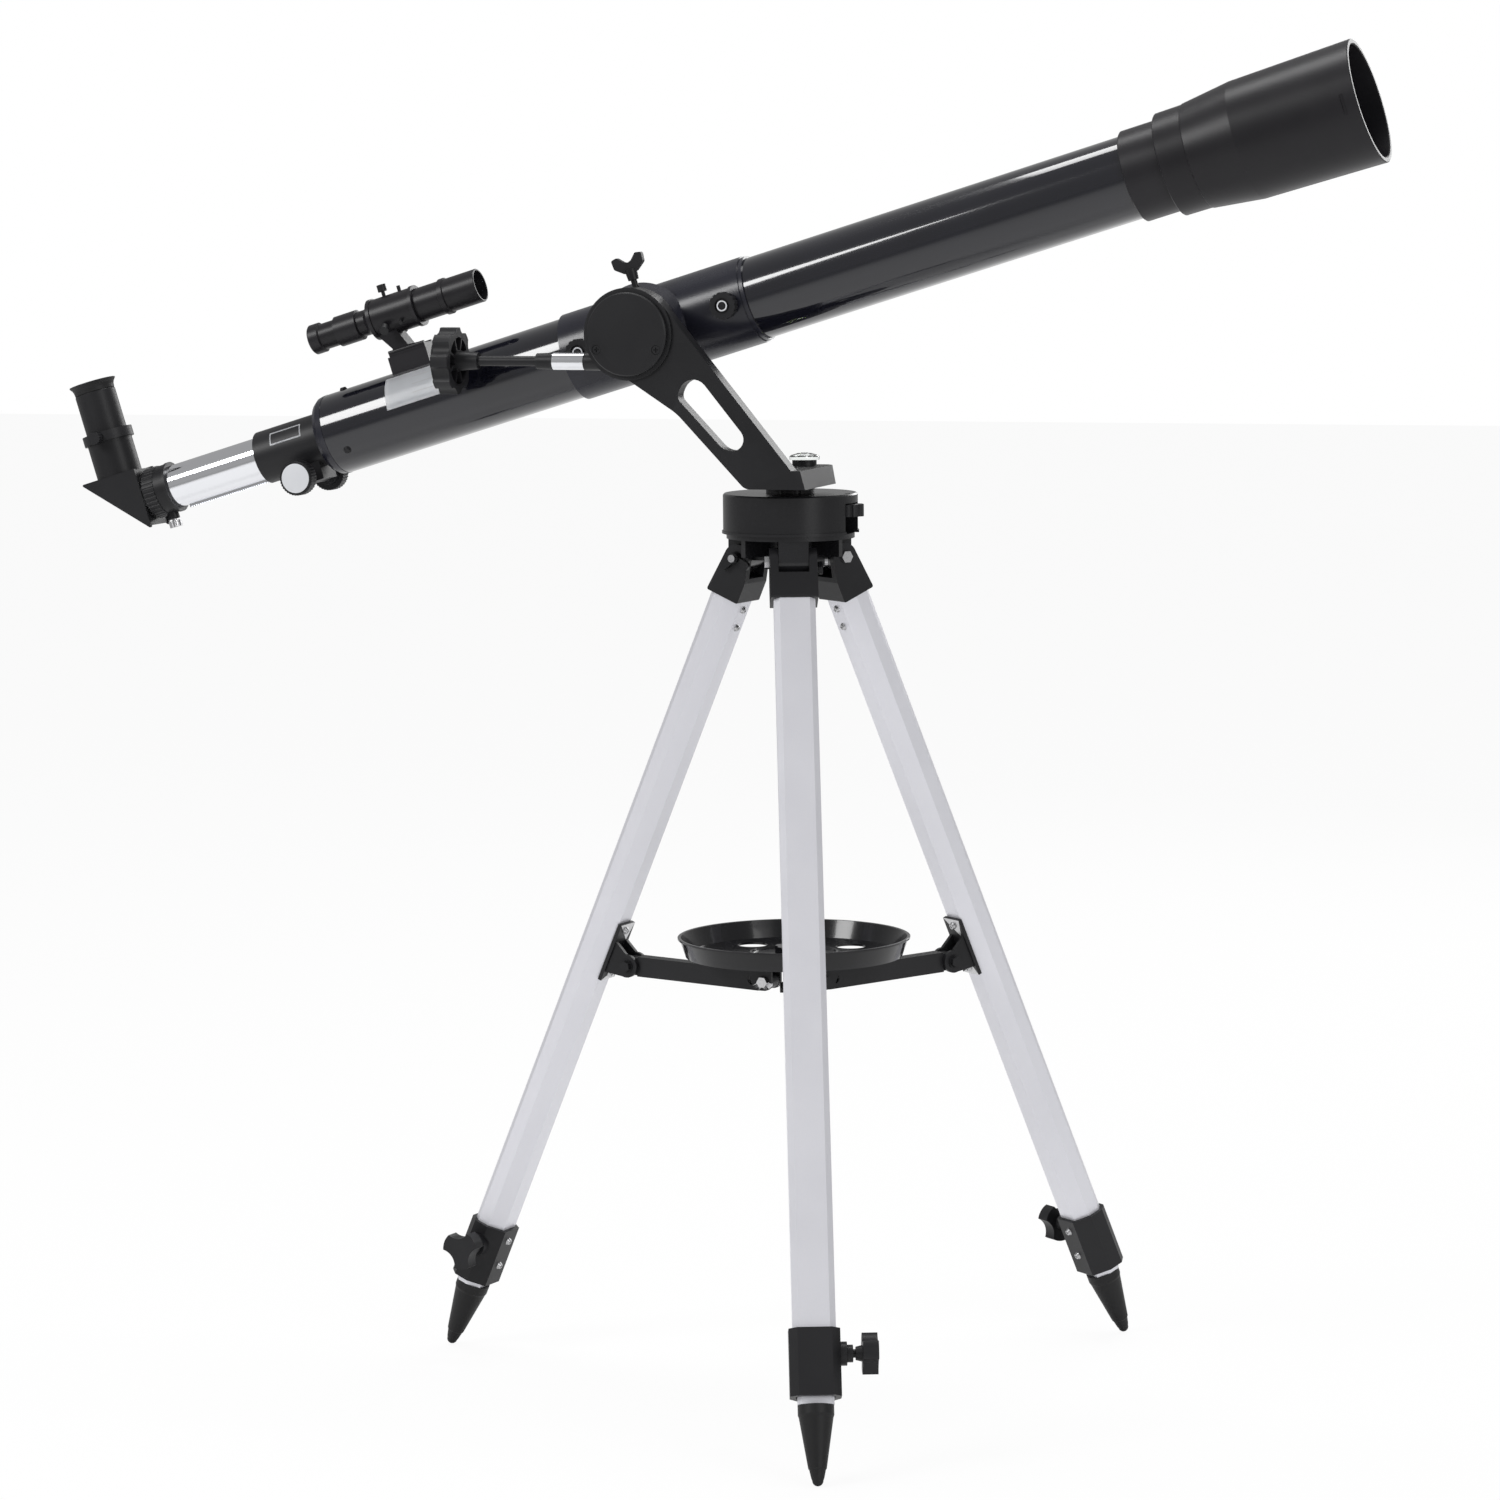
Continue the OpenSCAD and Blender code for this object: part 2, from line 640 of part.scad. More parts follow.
module dew_shield() {
    mouth = shield_back + shield_len;
    cone = shield_back + 23;
    barrel = cone + 39;
    color("#1a1a1e") on_tube() difference() {
        turned_x([[cell_r + seat, shield_back], [ring_r - 0.8, shield_back], [ring_r, shield_back + 0.8],
            [ring_r + 0.3, cone - 0.6], [ring_r + 0.9, cone], [shield_r - 2.1, barrel], [shield_r, mouth - 0.6],
            [shield_r - 0.6, mouth], [shield_r - 3.4, mouth], [shield_r - 4.2, mouth - 0.8], [shield_r - 4.2, barrel], [ring_r - 1.2, cone + 1.5],
            [lens_r + 1.6, cone - 1], [lens_r + 1.6, shield_back + 20 + seat], [cell_r + seat, shield_back + 20 + seat]]);
        for (a = [-1, 1]) rotate([a * 90, 0, 0]) translate([mouth - 12, -9, shield_r - 0.9]) cube([3, 18, 3]);
    }
}

// ---------------------------------------------------------------- finder

module finder_bracket() {
    color("#161619") on_tube() {
        difference() {
            union() {
                translate([0, 0, finder_rise]) {
                    rod_x(ring_back, ring_front, finder_r + 1.9 + gap, $fn = 96);
                    for (x = [ring_back, ring_front - 3]) rod_x(x, x + 3, finder_r + 2.9 + gap, $fn = 96);
                }
                plate_y(-8, 8) polygon([[shoe_front - 28, 46], [shoe_front - 6, 46], [shoe_front - 6, 50],
                    [shoe_front - 14, 50.6], [ring_front - 22, finder_rise - finder_r],
                    [ring_back + 2, finder_rise - finder_r], [shoe_front - 28, 51]]);
                translate([shoe_front - shoe_len, -9, tube_r + 12.2]) cube([shoe_len, 18, 3.6]);
                for (y = [-8, 8]) translate([0, y, tube_r + 15.8]) rod_x(shoe_front - shoe_len, shoe_front, 1.6);
            }
            translate([0, 0, finder_rise]) rod_x(ring_back - 1, ring_front + 1, finder_r + gap, $fn = 96);
            for (x = [ring_back + 14, ring_front - 13], a = [0, 120, 240])
                translate([x, 0, finder_rise]) rotate([a, 0, 0]) cylinder(h = 30, r = 1.5 + seat);
        }
        difference() {
            translate([shoe_front - shoe_len - 1, -11, tube_r - 3]) cube([shoe_len + 2, 22, 15.1]);
            rod_x(shoe_front - shoe_len - 3, shoe_front + 3, tube_r + seat, $fn = 128);
        }
    }
}

module finder_tube() {
    f = finder_front;
    b = finder_back;
    fr = finder_r;
    color("#121215") on_tube() translate([0, 0, finder_rise])
        turned_x([[fr - 1.4, f], [fr - 0.4, f], [fr, f - 0.6], [fr, f - 28], [fr + 1.2, f - 28.6],
            [fr + 1.2, f - 32.4], [fr, f - 33], [fr, f - 97], [fr - 3.2, f - 101], [fr - 3.2, f - 108],
            [fr - 1.2, f - 108.6], [fr - 1.2, b + 24], [fr - 3, b + 23.4], [fr - 3, b + 10], [fr - 1.4, b + 9],
            [fr - 1.4, b + 1], [fr - 2.4, b], [fr - 7, b], [fr - 7, b + 20], [fr - 5.4, b + 22],
            [fr - 5.4, f - 100], [fr - 1.4, f - 94]]);
}

module finder_lenses() {
    f = finder_front - 8;
    b = finder_back + 4;
    color("#bcc8d2") on_tube() translate([0, 0, finder_rise]) {
        turned_x([[0, f], [finder_r - 1.42, f - 1.4], [finder_r - 1.42, f - 4], [0, f - 4.6]]);
        turned_x([[0, b - 0.4], [finder_r - 7.02, b], [finder_r - 7.02, b + 3], [0, b + 3.6]]);
    }
}

// ---------------------------------------------------------------- focuser and eyepiece

module drawtube() {
    color("#d3d5d9") on_tube() {
        difference() {
            rod_x(draw_end + 5, draw_front, draw_r, $fn = 96);
            rod_x(draw_end, draw_front + 1, draw_r - 1.3, $fn = 96);
        }
        difference() {
            translate([draw_end + 17, -2.9, -draw_r - rack_h]) cube([rack_len, 5.8, rack_h + 1]);
            rod_x(draw_end, draw_front, draw_r + 0.01, $fn = 96);
            for (i = [0:rack_len / rack_pitch - 2]) translate([draw_end + 18.4 + rack_pitch * i, -4, -draw_r - rack_h - 0.4]) cube([0.9, 8, 1.4]);
        }
    }
}

module drawtube_collar() {
    color("#1c1b1e") on_tube() difference() {
        union() {
            rod_x(draw_end - 4, draw_end + 9, collar_r - 0.7, $fn = 96);
            translate([draw_end - 12, 0, 0]) rotate([0, 90, 0]) rotate([0, 0, 4]) lobed(collar_r, 10, 36, 1.2, 0.6);
            rod_x(draw_end + 6.5, draw_end + 9, collar_r, $fn = 96);
            translate([draw_end - 1, 0, -collar_r + 2]) rotate([180, 0, 0]) cylinder(h = 6, r = 5);
        }
        rod_x(draw_end + 5 - seat, draw_end + 20, draw_r + seat, $fn = 96);
        rod_x(draw_end - 15, draw_end + 10, barrel_r + run, $fn = 96);
        translate([draw_end - 1, 0, -40]) cylinder(h = 40, r = 2 + run);
    }
}

module pinion_shaft() {
    color("#c4c6ca") on_tube() translate([pinion_x, 0, pinion_z]) {
        rod_y(-knob_face + 8, knob_face - 8, 2.5);
        plate_y(-5, 5) difference() {
            circle(r = pinion_r, $fn = 48);
            for (i = [0:pinion_teeth - 1]) rotate(i * 360 / pinion_teeth) translate([pinion_r + 0.3, 0]) circle(r = 0.9, $fn = 16);
        }
    }
}

module focus_knobs() {
    color("#1d1c20") on_tube() translate([pinion_x, 0, pinion_z]) for (side = [-1, 1])
        rotate([side * -90, 0, 0]) difference() {
            union() {
                translate([0, 0, 24 + gap]) cylinder(h = 4, r1 = focus_knob_r - 5, r2 = focus_knob_r - 4);
                translate([0, 0, 28]) lobed(focus_knob_r, knob_face - 29, 36, 0.8, 0.45);
                translate([0, 0, knob_face - 1.2]) cylinder(h = 1.2, r1 = focus_knob_r - 0.5, r2 = focus_knob_r - 1);
            }
            cylinder(h = knob_face - 8 + gap, r = 2.5 + seat);
        }
}

module diagonal_housing() {
    t = case_top;
    low = -prism_side / 2 - 8;
    color("#1b1b1e") on_tube() translate([prism_x, 0, 0]) {
        difference() {
            union() {
                plate_y(-case_half + 2.2, case_half - 2.2) polygon([[-t - 2.6, t], [21.4, t], [21.4, low + 3]]);
                for (y = [-case_half, case_half - 2.4]) plate_y(y, y + 2.4)
                    polygon(rounded([[-t - 5, t + 0.8], [22.4, t + 0.8], [22.4, low]], [1, 1, 1]));
                translate([0, 0, t - 1]) cylinder(h = holder_top - holder_ring - t + 1, r = holder_r);
                translate([0, 0, holder_top - holder_ring]) cylinder(h = holder_ring, r = holder_r + 2.2);
                rod_x(20, 22.4, barrel_r + 2.6);
            }
            plate_y(-case_half + 4, case_half - 4) polygon([[-prism_side / 2 - 0.05, prism_side / 2 + 0.05],
                [prism_side / 2 + 0.05, prism_side / 2 + 0.05], [prism_side / 2 + 0.05, -prism_side / 2 - 0.05]]);
            translate([0, 0, 10]) cylinder(h = 16, r = barrel_r - 1.4);
            translate([0, 0, t]) cylinder(h = 60, r = barrel_r + run);
            rod_x(10, 26, barrel_r - 1.3);
            rod_x(21.4, 26, barrel_r + seat);
            translate([0, 0, holder_top - holder_ring / 2]) rod_y(-40, 0, 2 + run);
        }
    }
}

module diagonal_prism() {
    s = prism_side / 2;
    color("#cfd8de") on_tube() translate([prism_x, 0, 0])
        plate_y(-case_half + 4.2, case_half - 4.2) polygon([[-s + 0.1, s - 0.05], [s - 0.05, s - 0.05], [s - 0.05, -s + 0.1]]);
}

module diagonal_barrel() {
    color("#cfd1d6") on_tube() translate([prism_x, 0, 0]) difference() {
        rod_x(21.42, 21.4 + 28, barrel_r);
        rod_x(20, 60, barrel_r - 1.3);
    }
}

// Thumbscrew along Z: tip at the origin, knurled head at the top
module thumbscrew(r, reach, head_r, head_h) {
    cylinder(h = reach + 1, r = r);
    translate([0, 0, reach]) lobed(head_r, head_h, 14, 0.9, 0.5);
}

module drawtube_thumbscrew() {
    color("#c0c2c6") on_tube() translate([draw_end - 1, 0, -barrel_r - run - 0.1]) rotate([180, 0, 0])
        thumbscrew(2, 10.4, 5.4, 5);
}

module eyepiece_thumbscrew() {
    color("#1f1e22") on_tube() translate([prism_x, -barrel_r - run - 0.1, holder_top - holder_ring / 2])
        rotate([90, 0, 0]) thumbscrew(2, 5.4, 5.2, 6);
}

module eyepiece_barrel() {
    b = holder_top;
    r = barrel_r;
    color("#17171a") on_tube() translate([prism_x, 0, 0]) rotate_extrude()
        polygon([[r - 1.2, b - 25], [r, b - 25], [r, b + 0.02], [r + 0.9, b + 0.02], [r + 0.9, b + eyepiece_h - 9],
            [r + 0.2, b + eyepiece_h - 8], [r - 1, b + eyepiece_h - 8], [r - 1, b + eyepiece_h - 3],
            [7, b + eyepiece_h - 3], [7, b + 18], [r - 1.2, b + 14]]);
}

module eyecup() {
    b = holder_top + eyepiece_h;
    r = barrel_r;
    color("#131315") on_tube() translate([prism_x, 0, 0]) rotate_extrude()
        polygon([[r - 0.98, b - 7.9], [r + 0.6, b - 7.9], [r + 0.9, b - 5], [r + 1.6, b - 3], [r + 3.4, b - 0.6],
            [r + 3.2, b], [r + 2.2, b - 0.2], [r, b - 2.6], [r - 2.4, b - 2.9], [r - 0.98, b - 2.98]]);
}

module eye_lens() {
    b = holder_top + eyepiece_h - 3;
    color("#b9c6d2") on_tube() translate([prism_x, 0, 0]) rotate_extrude()
        polygon([[0, b - 7], [6.98, b - 6], [6.98, b - 1.6], [4, b - 0.8], [0, b - 0.5]]);
}

// ---------------------------------------------------------------- spreader and tray

module spreader_hub() {
    color("#18171a") {
        difference() {
            union() {
                translate([0, 0, plate_z]) cylinder(h = tray_z - plate_z - 0.05, r = 34);
                for (k = [1:3]) on_side(k) for (side = [-1, 1])
                    plate_y(side > 0 ? brace_w / 2 + gap : -brace_w / 2 - gap - ear_t,
                        side > 0 ? brace_w / 2 + gap + ear_t : -brace_w / 2 - gap)
                        polygon(rounded([[hub_pivot_r - 7, plate_z + 1], [hub_pivot_r - 7, in_z - 7],
                            [hub_pivot_r + 8, in_z - 7], [hub_pivot_r + 18, plate_z + 1]], [0, 6, 6, 0]));
            }
            for (k = [1:3]) on_side(k) translate([hub_pivot_r, 0, in_z]) rod_y(-20, 20, brace_pin_r);
            translate([0, 0, plate_z - 1]) cylinder(h = 30, r = 3 + seat);
        }
    }
    color("#b4b6ba") for (k = [1:3]) on_side(k) translate([hub_pivot_r, 0, in_z]) {
        rod_y(-brace_w / 2 - gap - ear_t - 0.6, brace_w / 2 + gap + ear_t + 0.6, brace_pin_r - seat);
        for (side = [-1, 1]) rotate([side * 90, 0, 0])
            translate([0, 0, brace_w / 2 + gap + ear_t + 0.02]) hex(4.6, 3);
    }
}

module tray() {
    slope = tray_r - 6.3;
    color("#0f0f12") {
        difference() {
            translate([0, 0, tray_z]) rotate_extrude($fn = 128) polygon([[0, 0], [slope, 0], [tray_r - 1.6, tray_depth - 1.6],
                [tray_r, tray_depth - 1.4], [tray_r, tray_depth - 0.3], [tray_r - 0.6, tray_depth],
                [tray_r - 2.6, tray_depth - 0.2], [slope - 1.8, tray_floor], [36, tray_floor], [35.2, 3.2],
                [33.4, 3.2], [32.6, tray_floor], [0, tray_floor]]);
            for (a = [54:90:324]) rotate([0, 0, a]) translate([56, 0, tray_z - 1]) cylinder(h = 10, r = tray_hole_r);
            translate([0, 0, tray_z - 1]) cylinder(h = 10, r = 3 + seat);
        }
        translate([0, 0, plate_z + 0.6]) cylinder(h = tray_z - plate_z + 2, r = 3);
        translate([0, 0, tray_z + tray_floor + 0.02]) lobed(15, 6, 6, 6, 2);
    }
}

// ---------------------------------------------------------------- legs

module leg_tube(k) {
    color("#c9cad0") on_leg(k) difference() {
        translate([0, 0, collar_bottom + 6]) linear_extrude(height = -24 - collar_bottom - 6) polygon(leg_section(0));
        translate([0, 0, collar_bottom]) linear_extrude(height = -collar_bottom) polygon(leg_section(leg_wall));
        translate([0, 0, knob_z]) rod_y(0, leg_w, 3.2 + run);
    }
}

module socket() {
    half = leg_w / 2 + 2.3;
    difference() {
        plate_y(-half, half) union() {
            circle(r = 10.8);
            polygon(rounded([[10.8, 0], [face_out + 1.9, -socket_len], [face_in - 1.6, -socket_len],
                [face_in - 1.6, -16], [-10.8, 0]], [0, 1.5, 1.5, 4, 0]));
        }
        translate([-30, -lug_half - gap, -12.5]) cube([60, 2 * (lug_half + gap), 60]);
        translate([0, 0, -50]) linear_extrude(height = 26.05) polygon(leg_section(-seat));
        rod_y(-half - 1, half + 1, 3 + run);
    }
}

// Cross-headed screw standing out along X
module round_screw(h) {
    difference() {
        rotate([0, 90, 0]) cylinder(h = h, r1 = 3.2, r2 = 2.1);
        for (turn = [0, 90]) rotate([turn, 0, 0]) translate([h - 0.7, -1.7, -0.35]) cube([2, 3.4, 0.7]);
    }
}

module leg_bracket() {
    inner = brace_w / 2 + gap;
    x0 = face_in - bracket_reach;
    difference() {
        union() {
            translate([face_in - 3.2, -leg_w / 2 + 5, -bracket_drop - 21]) cube([3.15, leg_w - 10, 50]);
            for (y = [-inner - 3.4, inner]) plate_y(y, y + 3.4) union() {
                translate([x0, -bracket_drop]) circle(r = 9.2);
                polygon([[face_in - 3, -bracket_drop + 14], [x0 + 4, -bracket_drop + 8.6],
                    [x0 - 4, -bracket_drop - 8.3], [face_in - 3, -bracket_drop - 13]]);
            }
        }
        translate([x0, 0, -bracket_drop]) rod_y(-20, 20, brace_pin_r);
    }
    translate([x0, 0, -bracket_drop]) {
        rod_y(-inner - 4, inner + 4, brace_pin_r - seat);
        for (side = [-1, 1]) rotate([side * 90, 0, 0]) translate([0, 0, inner + 3.42]) {
            cylinder(h = 1, r = 5.4);
            translate([0, 0, 1]) hex(4.6, 3);
        }
    }
    for (z = [23, -16]) translate([face_in - 3.22, 0, -bracket_drop + z]) mirror([1, 0, 0]) round_screw(2.2);
}

module collar() {
    w = leg_w / 2;
    difference() {
        union() {
            translate([0, 0, collar_bottom]) linear_extrude(height = collar_h) polygon(inset(leg_section(0), -3.1));
            translate([0, w + 3, knob_z]) rod_y(-3, 5, 9);
        }
        translate([0, 0, collar_bottom + 6]) linear_extrude(height = collar_h + 1) polygon(leg_section(-seat));
        translate([0, 0, collar_bottom - 1]) linear_extrude(height = collar_h) polygon(leg_section(leg_wall));
        translate([0, 0, knob_z]) rod_y(0, w + 12, 3.2 + run);
    }
    for (z = [-10.5, -33.5]) translate([face_in - 3.12, 0, collar_top + z]) mirror([1, 0, 0]) round_screw(2);
}

module leg_fittings(k) {
    color("#1b1a1e") on_leg(k) {
        socket();
        leg_bracket();
        collar();
        for (z = [-41, -56.5]) translate([face_in - 0.02, 0, z]) mirror([1, 0, 0]) round_screw(2);
    }
}

module inner_leg(k) {
    color("#d3d4d9") on_leg(k) translate([0, 0, foot_top])
        difference() {
            linear_extrude(height = inner_leg_len) polygon(leg_section(leg_wall + inner_gap));
            translate([0, 0, 8]) linear_extrude(height = inner_leg_len) polygon(leg_section(leg_wall + inner_gap + 1.4));
        }
}

module foot(k) {
    drop = foot_top - foot_tip;
    color("#141316") on_leg(k) translate([0, 0, foot_tip]) {
        translate([0, 0, tip_r]) sphere(r = tip_r);
        rotate_extrude() polygon([[0, tip_r], [tip_r, tip_r], [4.9, 6], [6.2, 12], [6.9, 13], [12.9, drop - 9], [13.6, drop - 7],
            [13.6, drop - 0.05], [0, drop - 0.05]]);
    }
}

module clamp_knob(k) {
    w = leg_w / 2;
    color("#17161a") on_leg(k) translate([0, 0, knob_z]) rotate([-90, 0, 0]) {
        translate([0, 0, w - leg_wall + gap - 0.6]) cylinder(h = 22.5, r = 3.2);
        translate([0, 0, w + 8.3]) cylinder(h = 4.2, r = 6.6);
        translate([0, 0, w + 19.5]) lobed(15.8, 11.8, 3, 13, 6.2);
        translate([0, 0, w + 14.5]) cylinder(h = 6, r1 = 5, r2 = 6.5);
    }
}

module brace(k) {
    color("#1e1d21") on_side(k) translate([out_r, 0, out_z]) rotate([0, -brace_tilt, 0]) difference() {
        union() {
            translate([-brace_len + 6, -brace_w / 2, -brace_h / 2]) cube([brace_len - 14, brace_w, brace_h]);
            rod_y(-brace_w / 2, brace_w / 2, brace_h / 2 - 1);
            translate([-10, -brace_w / 2, -brace_h / 2 + 1]) cube([10, brace_w, brace_h - 2]);
            translate([-brace_len, 0, 0]) rod_y(-brace_w / 2, brace_w / 2, 6.6);
            translate([-brace_len, -brace_w / 2, -6.6]) cube([8, brace_w, 13.2]);
        }
        translate([-brace_len + 22, -brace_w / 2 + 2, -brace_h / 2 - 1]) cube([brace_len - 38, brace_w - 4, brace_h - 1]);
        rod_y(-20, 20, brace_pin_r + run);
        translate([-brace_len, 0, 0]) rod_y(-20, 20, slot_r);
        translate([-brace_len, -20, -slot_r]) cube([brace_slot, 40, 2 * slot_r]);
        translate([-brace_len + brace_slot, 0, 0]) rod_y(-20, 20, slot_r);
    }
}

tripod_head();
head_spider();
hinge_bolts();
azimuth_lock_knob();
mount_arm();
azimuth_spindle();
level_case();
level_window();
gear_cover();
cover_screws();
worm_shaft();
control_handle();
altitude_lock_screw();
cradle();
main_tube();
rear_cell();
tube_screws();
focuser_body();
lens_cell();
dew_shield();
objective_lens();
altitude_axle();
finder_bracket();
finder_tube();
finder_lenses();
cradle_knob_front();
cradle_knob_rear();
drawtube();
drawtube_collar();
pinion_shaft();
focus_knobs();
diagonal_housing();
diagonal_prism();
diagonal_barrel();
drawtube_thumbscrew();
eyepiece_thumbscrew();
eyepiece_barrel();
eyecup();
eye_lens();
spreader_hub();
tray();
for (k = [1:3]) {
    leg_tube(k);
    leg_fittings(k);
    inner_leg(k);
    foot(k);
    clamp_knob(k);
    brace(k);
}
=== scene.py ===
"""Finishes, fine details, light and camera for a small refracting telescope on its tripod."""

from __future__ import annotations

import json
import logging
import math
from dataclasses import dataclass, field
from enum import Enum
from typing import Callable, Iterable

import bmesh
import bpy
from mathutils import Euler, Matrix, Vector

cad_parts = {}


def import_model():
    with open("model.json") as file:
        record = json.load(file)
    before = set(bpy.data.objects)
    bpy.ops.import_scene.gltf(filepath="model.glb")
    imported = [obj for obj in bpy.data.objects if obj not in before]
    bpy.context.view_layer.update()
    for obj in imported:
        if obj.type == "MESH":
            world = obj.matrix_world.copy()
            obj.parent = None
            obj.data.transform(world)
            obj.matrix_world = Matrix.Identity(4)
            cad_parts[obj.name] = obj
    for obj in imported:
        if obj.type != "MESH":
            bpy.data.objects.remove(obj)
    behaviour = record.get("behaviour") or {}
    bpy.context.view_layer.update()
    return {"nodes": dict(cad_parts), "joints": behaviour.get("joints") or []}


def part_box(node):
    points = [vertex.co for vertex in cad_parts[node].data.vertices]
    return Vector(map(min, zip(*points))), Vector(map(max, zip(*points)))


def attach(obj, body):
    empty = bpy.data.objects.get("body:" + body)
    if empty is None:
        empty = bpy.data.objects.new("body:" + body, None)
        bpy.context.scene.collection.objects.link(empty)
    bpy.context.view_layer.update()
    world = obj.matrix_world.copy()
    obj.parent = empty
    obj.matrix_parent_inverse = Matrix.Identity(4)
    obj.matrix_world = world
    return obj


log = logging.getLogger("telescope")
Number = float | int

IOR = 1.5
PATCH_SHARE = 0.5
GRAIN_SHARE = 0.25
EDGE_SHARE = 0.6
MASK_DROP = 0.1
GRAIN_ROUGHNESS = 0.6
POINTED = 0.53
WELD = 1e-6
FINE_WELD = 1e-7
PIECE_ANGLE = math.radians(35)
CAD_ANGLE = math.radians(28)


class Coat(Enum):
    """How much clear lacquer lies over a finish."""

    NONE = 0.0
    THIN = 0.25
    FULL = 1.0


class Sock:
    """A shader socket that takes part in plain arithmetic."""

    def __init__(self, graph: "Graph", socket: bpy.types.NodeSocket) -> None:
        """Keeps the graph and the output socket."""
        self.graph = graph
        self.socket = socket

    def _maths(self, kind: str, left: "Sock | Number", right: "Sock | Number",
               clamp: bool = False) -> "Sock":
        """Adds one Math node and returns its result."""
        settings = {"operation": kind, "use_clamp": clamp}
        return self.graph.node("ShaderNodeMath", settings, {0: left, 1: right})

    def __add__(self, other: "Sock | Number") -> "Sock":
        """Sum."""
        return self._maths("ADD", self, other)

    __radd__ = __add__

    def __sub__(self, other: "Sock | Number") -> "Sock":
        """Difference."""
        return self._maths("SUBTRACT", self, other)

    def __rsub__(self, other: "Sock | Number") -> "Sock":
        """Difference, the other way round."""
        return self._maths("SUBTRACT", other, self)

    def __mul__(self, other: "Sock | Number") -> "Sock":
        """Product."""
        return self._maths("MULTIPLY", self, other)

    __rmul__ = __mul__

    def highest(self, other: "Sock | Number") -> "Sock":
        """The greater of the two."""
        return self._maths("MAXIMUM", self, other)

    def clamped(self) -> "Sock":
        """The value held between nought and one."""
        return self._maths("ADD", self, 0.0, clamp=True)


class Graph:
    """Adds nodes to one node tree."""

    def __init__(self, tree: bpy.types.NodeTree) -> None:
        """Keeps the tree."""
        self.tree = tree

    def node(self, kind: str, settings: dict | None = None, inputs: dict | None = None,
             out: int | str = 0) -> Sock:
        """Adds any node.

        Args:
            kind: the node's type name.
            settings: its properties, set before its sockets.
            inputs: values or links, by socket name or number.
            out: which output is returned.

        Returns:
            The chosen output, wrapped.
        """
        made = self.tree.nodes.new(kind)
        for key, value in (settings or {}).items():
            setattr(made, key, value)
        for key, value in (inputs or {}).items():
            self.feed(made.inputs[key], value)
        return Sock(self, made.outputs[out])

    def feed(self, target: bpy.types.NodeSocket, value: "Sock | Number | tuple") -> None:
        """Links a wrapped socket, or sets a plain value."""
        if isinstance(value, Sock):
            self.tree.links.new(value.socket, target)
        else:
            target.default_value = value


class Surface(Graph):
    """Builds one material's node tree."""

    def __init__(self, name: str) -> None:
        """Starts a material that holds only its output and its shader."""
        self.material = bpy.data.materials.new(name)
        self.material.use_nodes = True
        super().__init__(self.material.node_tree)
        self.shader = self.tree.nodes["Principled BSDF"]
        self.output = self.tree.nodes["Material Output"]

    def place(self) -> Sock:
        """Where a point lies, in the object's own metres."""
        return self.node("ShaderNodeTexCoord", out="Object")

    def noise(self, scale: float, detail: float, stretch: tuple[float, float, float] = (1, 1, 1),
              rough: float = 0.55) -> Sock:
        """Soft noise between nought and one.

        Args:
            scale: blotches per metre.
            detail: how many finer layers it has.
            stretch: scale along each axis.
            rough: strength of the finer layers.

        Returns:
            The noise value.
        """
        mapped = self.node("ShaderNodeMapping", {}, {"Vector": self.place(), "Scale": stretch})
        inputs = {"Vector": mapped, "Scale": scale, "Detail": detail, "Roughness": rough}
        return self.node("ShaderNodeTexNoise", {}, inputs)

    def blend(self, amount: Sock, dark: tuple, light: tuple) -> Sock:
        """Mixes two colours by a value."""
        inputs = {0: amount, 6: (*dark, 1.0), 7: (*light, 1.0)}
        return self.node("ShaderNodeMix", {"data_type": "RGBA"}, inputs, out=2)

    def painted_edge_highlights(self, reach: float) -> Sock:
        """A painted highlight mask that is one along sharp outer edges, from the surface's pointiness.

        Args:
            reach: how steeply the mask rises.

        Returns:
            The mask.
        """
        point = self.node("ShaderNodeNewGeometry", out="Pointiness")
        return ((point - POINTED) * reach).clamped()

    def bump(self, height: Sock, strength: float, distance: float) -> None:
        """Feeds a bump into the shader's normal."""
        inputs = {"Height": height, "Strength": strength, "Distance": distance}
        self.feed(self.shader.inputs["Normal"], self.node("ShaderNodeBump", {}, inputs))

    def fix(self, **values: Number | tuple) -> None:
        """Sets the shader's own constant sockets, underscores standing for spaces."""
        for key, value in values.items():
            self.shader.inputs[key.replace("_", " ")].default_value = value


@dataclass(frozen=True)
class Finish:
    """A surface finish with a faint grain, handling marks, and painted highlights that make its sharp edges
    brighter.
    """

    name: str
    colour: tuple[float, float, float]
    tint: tuple[float, float, float]
    rough: float = 0.4
    spread: float = 0.1
    metal: float = 0.0
    coat: Coat = Coat.NONE
    coat_rough: float = 0.05
    grain: float = 2500.0
    depth: float = 0.00003
    relief: float = 0.25
    patch: float = 22.0
    stretch: tuple[float, float, float] = (1, 1, 1)
    # How steeply the painted edge highlight rises.
    edge: float = 6.0
    shine: float = 0.28
    patch_detail: float = 5.0
    grain_detail: float = 2.0

    def material(self) -> bpy.types.Material:
        """Builds the finish's node tree."""
        graph = Surface(self.name)
        patches = graph.noise(self.patch, self.patch_detail)
        grain = graph.noise(self.grain, self.grain_detail, self.stretch)
        edges = graph.painted_edge_highlights(self.edge)
        # The edge term is a painted highlight on sharp edges in the lighter tint; the patches and grain are
        # the finish's own random tone.
        mask = (patches * PATCH_SHARE + grain * GRAIN_SHARE + edges * EDGE_SHARE - MASK_DROP).clamped()
        graph.feed(graph.shader.inputs["Base Color"], graph.blend(mask, self.colour, self.tint))
        fine = (grain - 0.5) * (self.spread * GRAIN_ROUGHNESS)
        rough = patches * self.spread + fine + (self.rough - self.spread / 2)
        graph.feed(graph.shader.inputs["Roughness"], rough.clamped())
        graph.bump(grain, self.relief, self.depth)
        graph.fix(Metallic=self.metal, IOR=IOR, Coat_Weight=self.coat.value,
                  Coat_Roughness=self.coat_rough, Specular_IOR_Level=self.shine)
        return graph.material


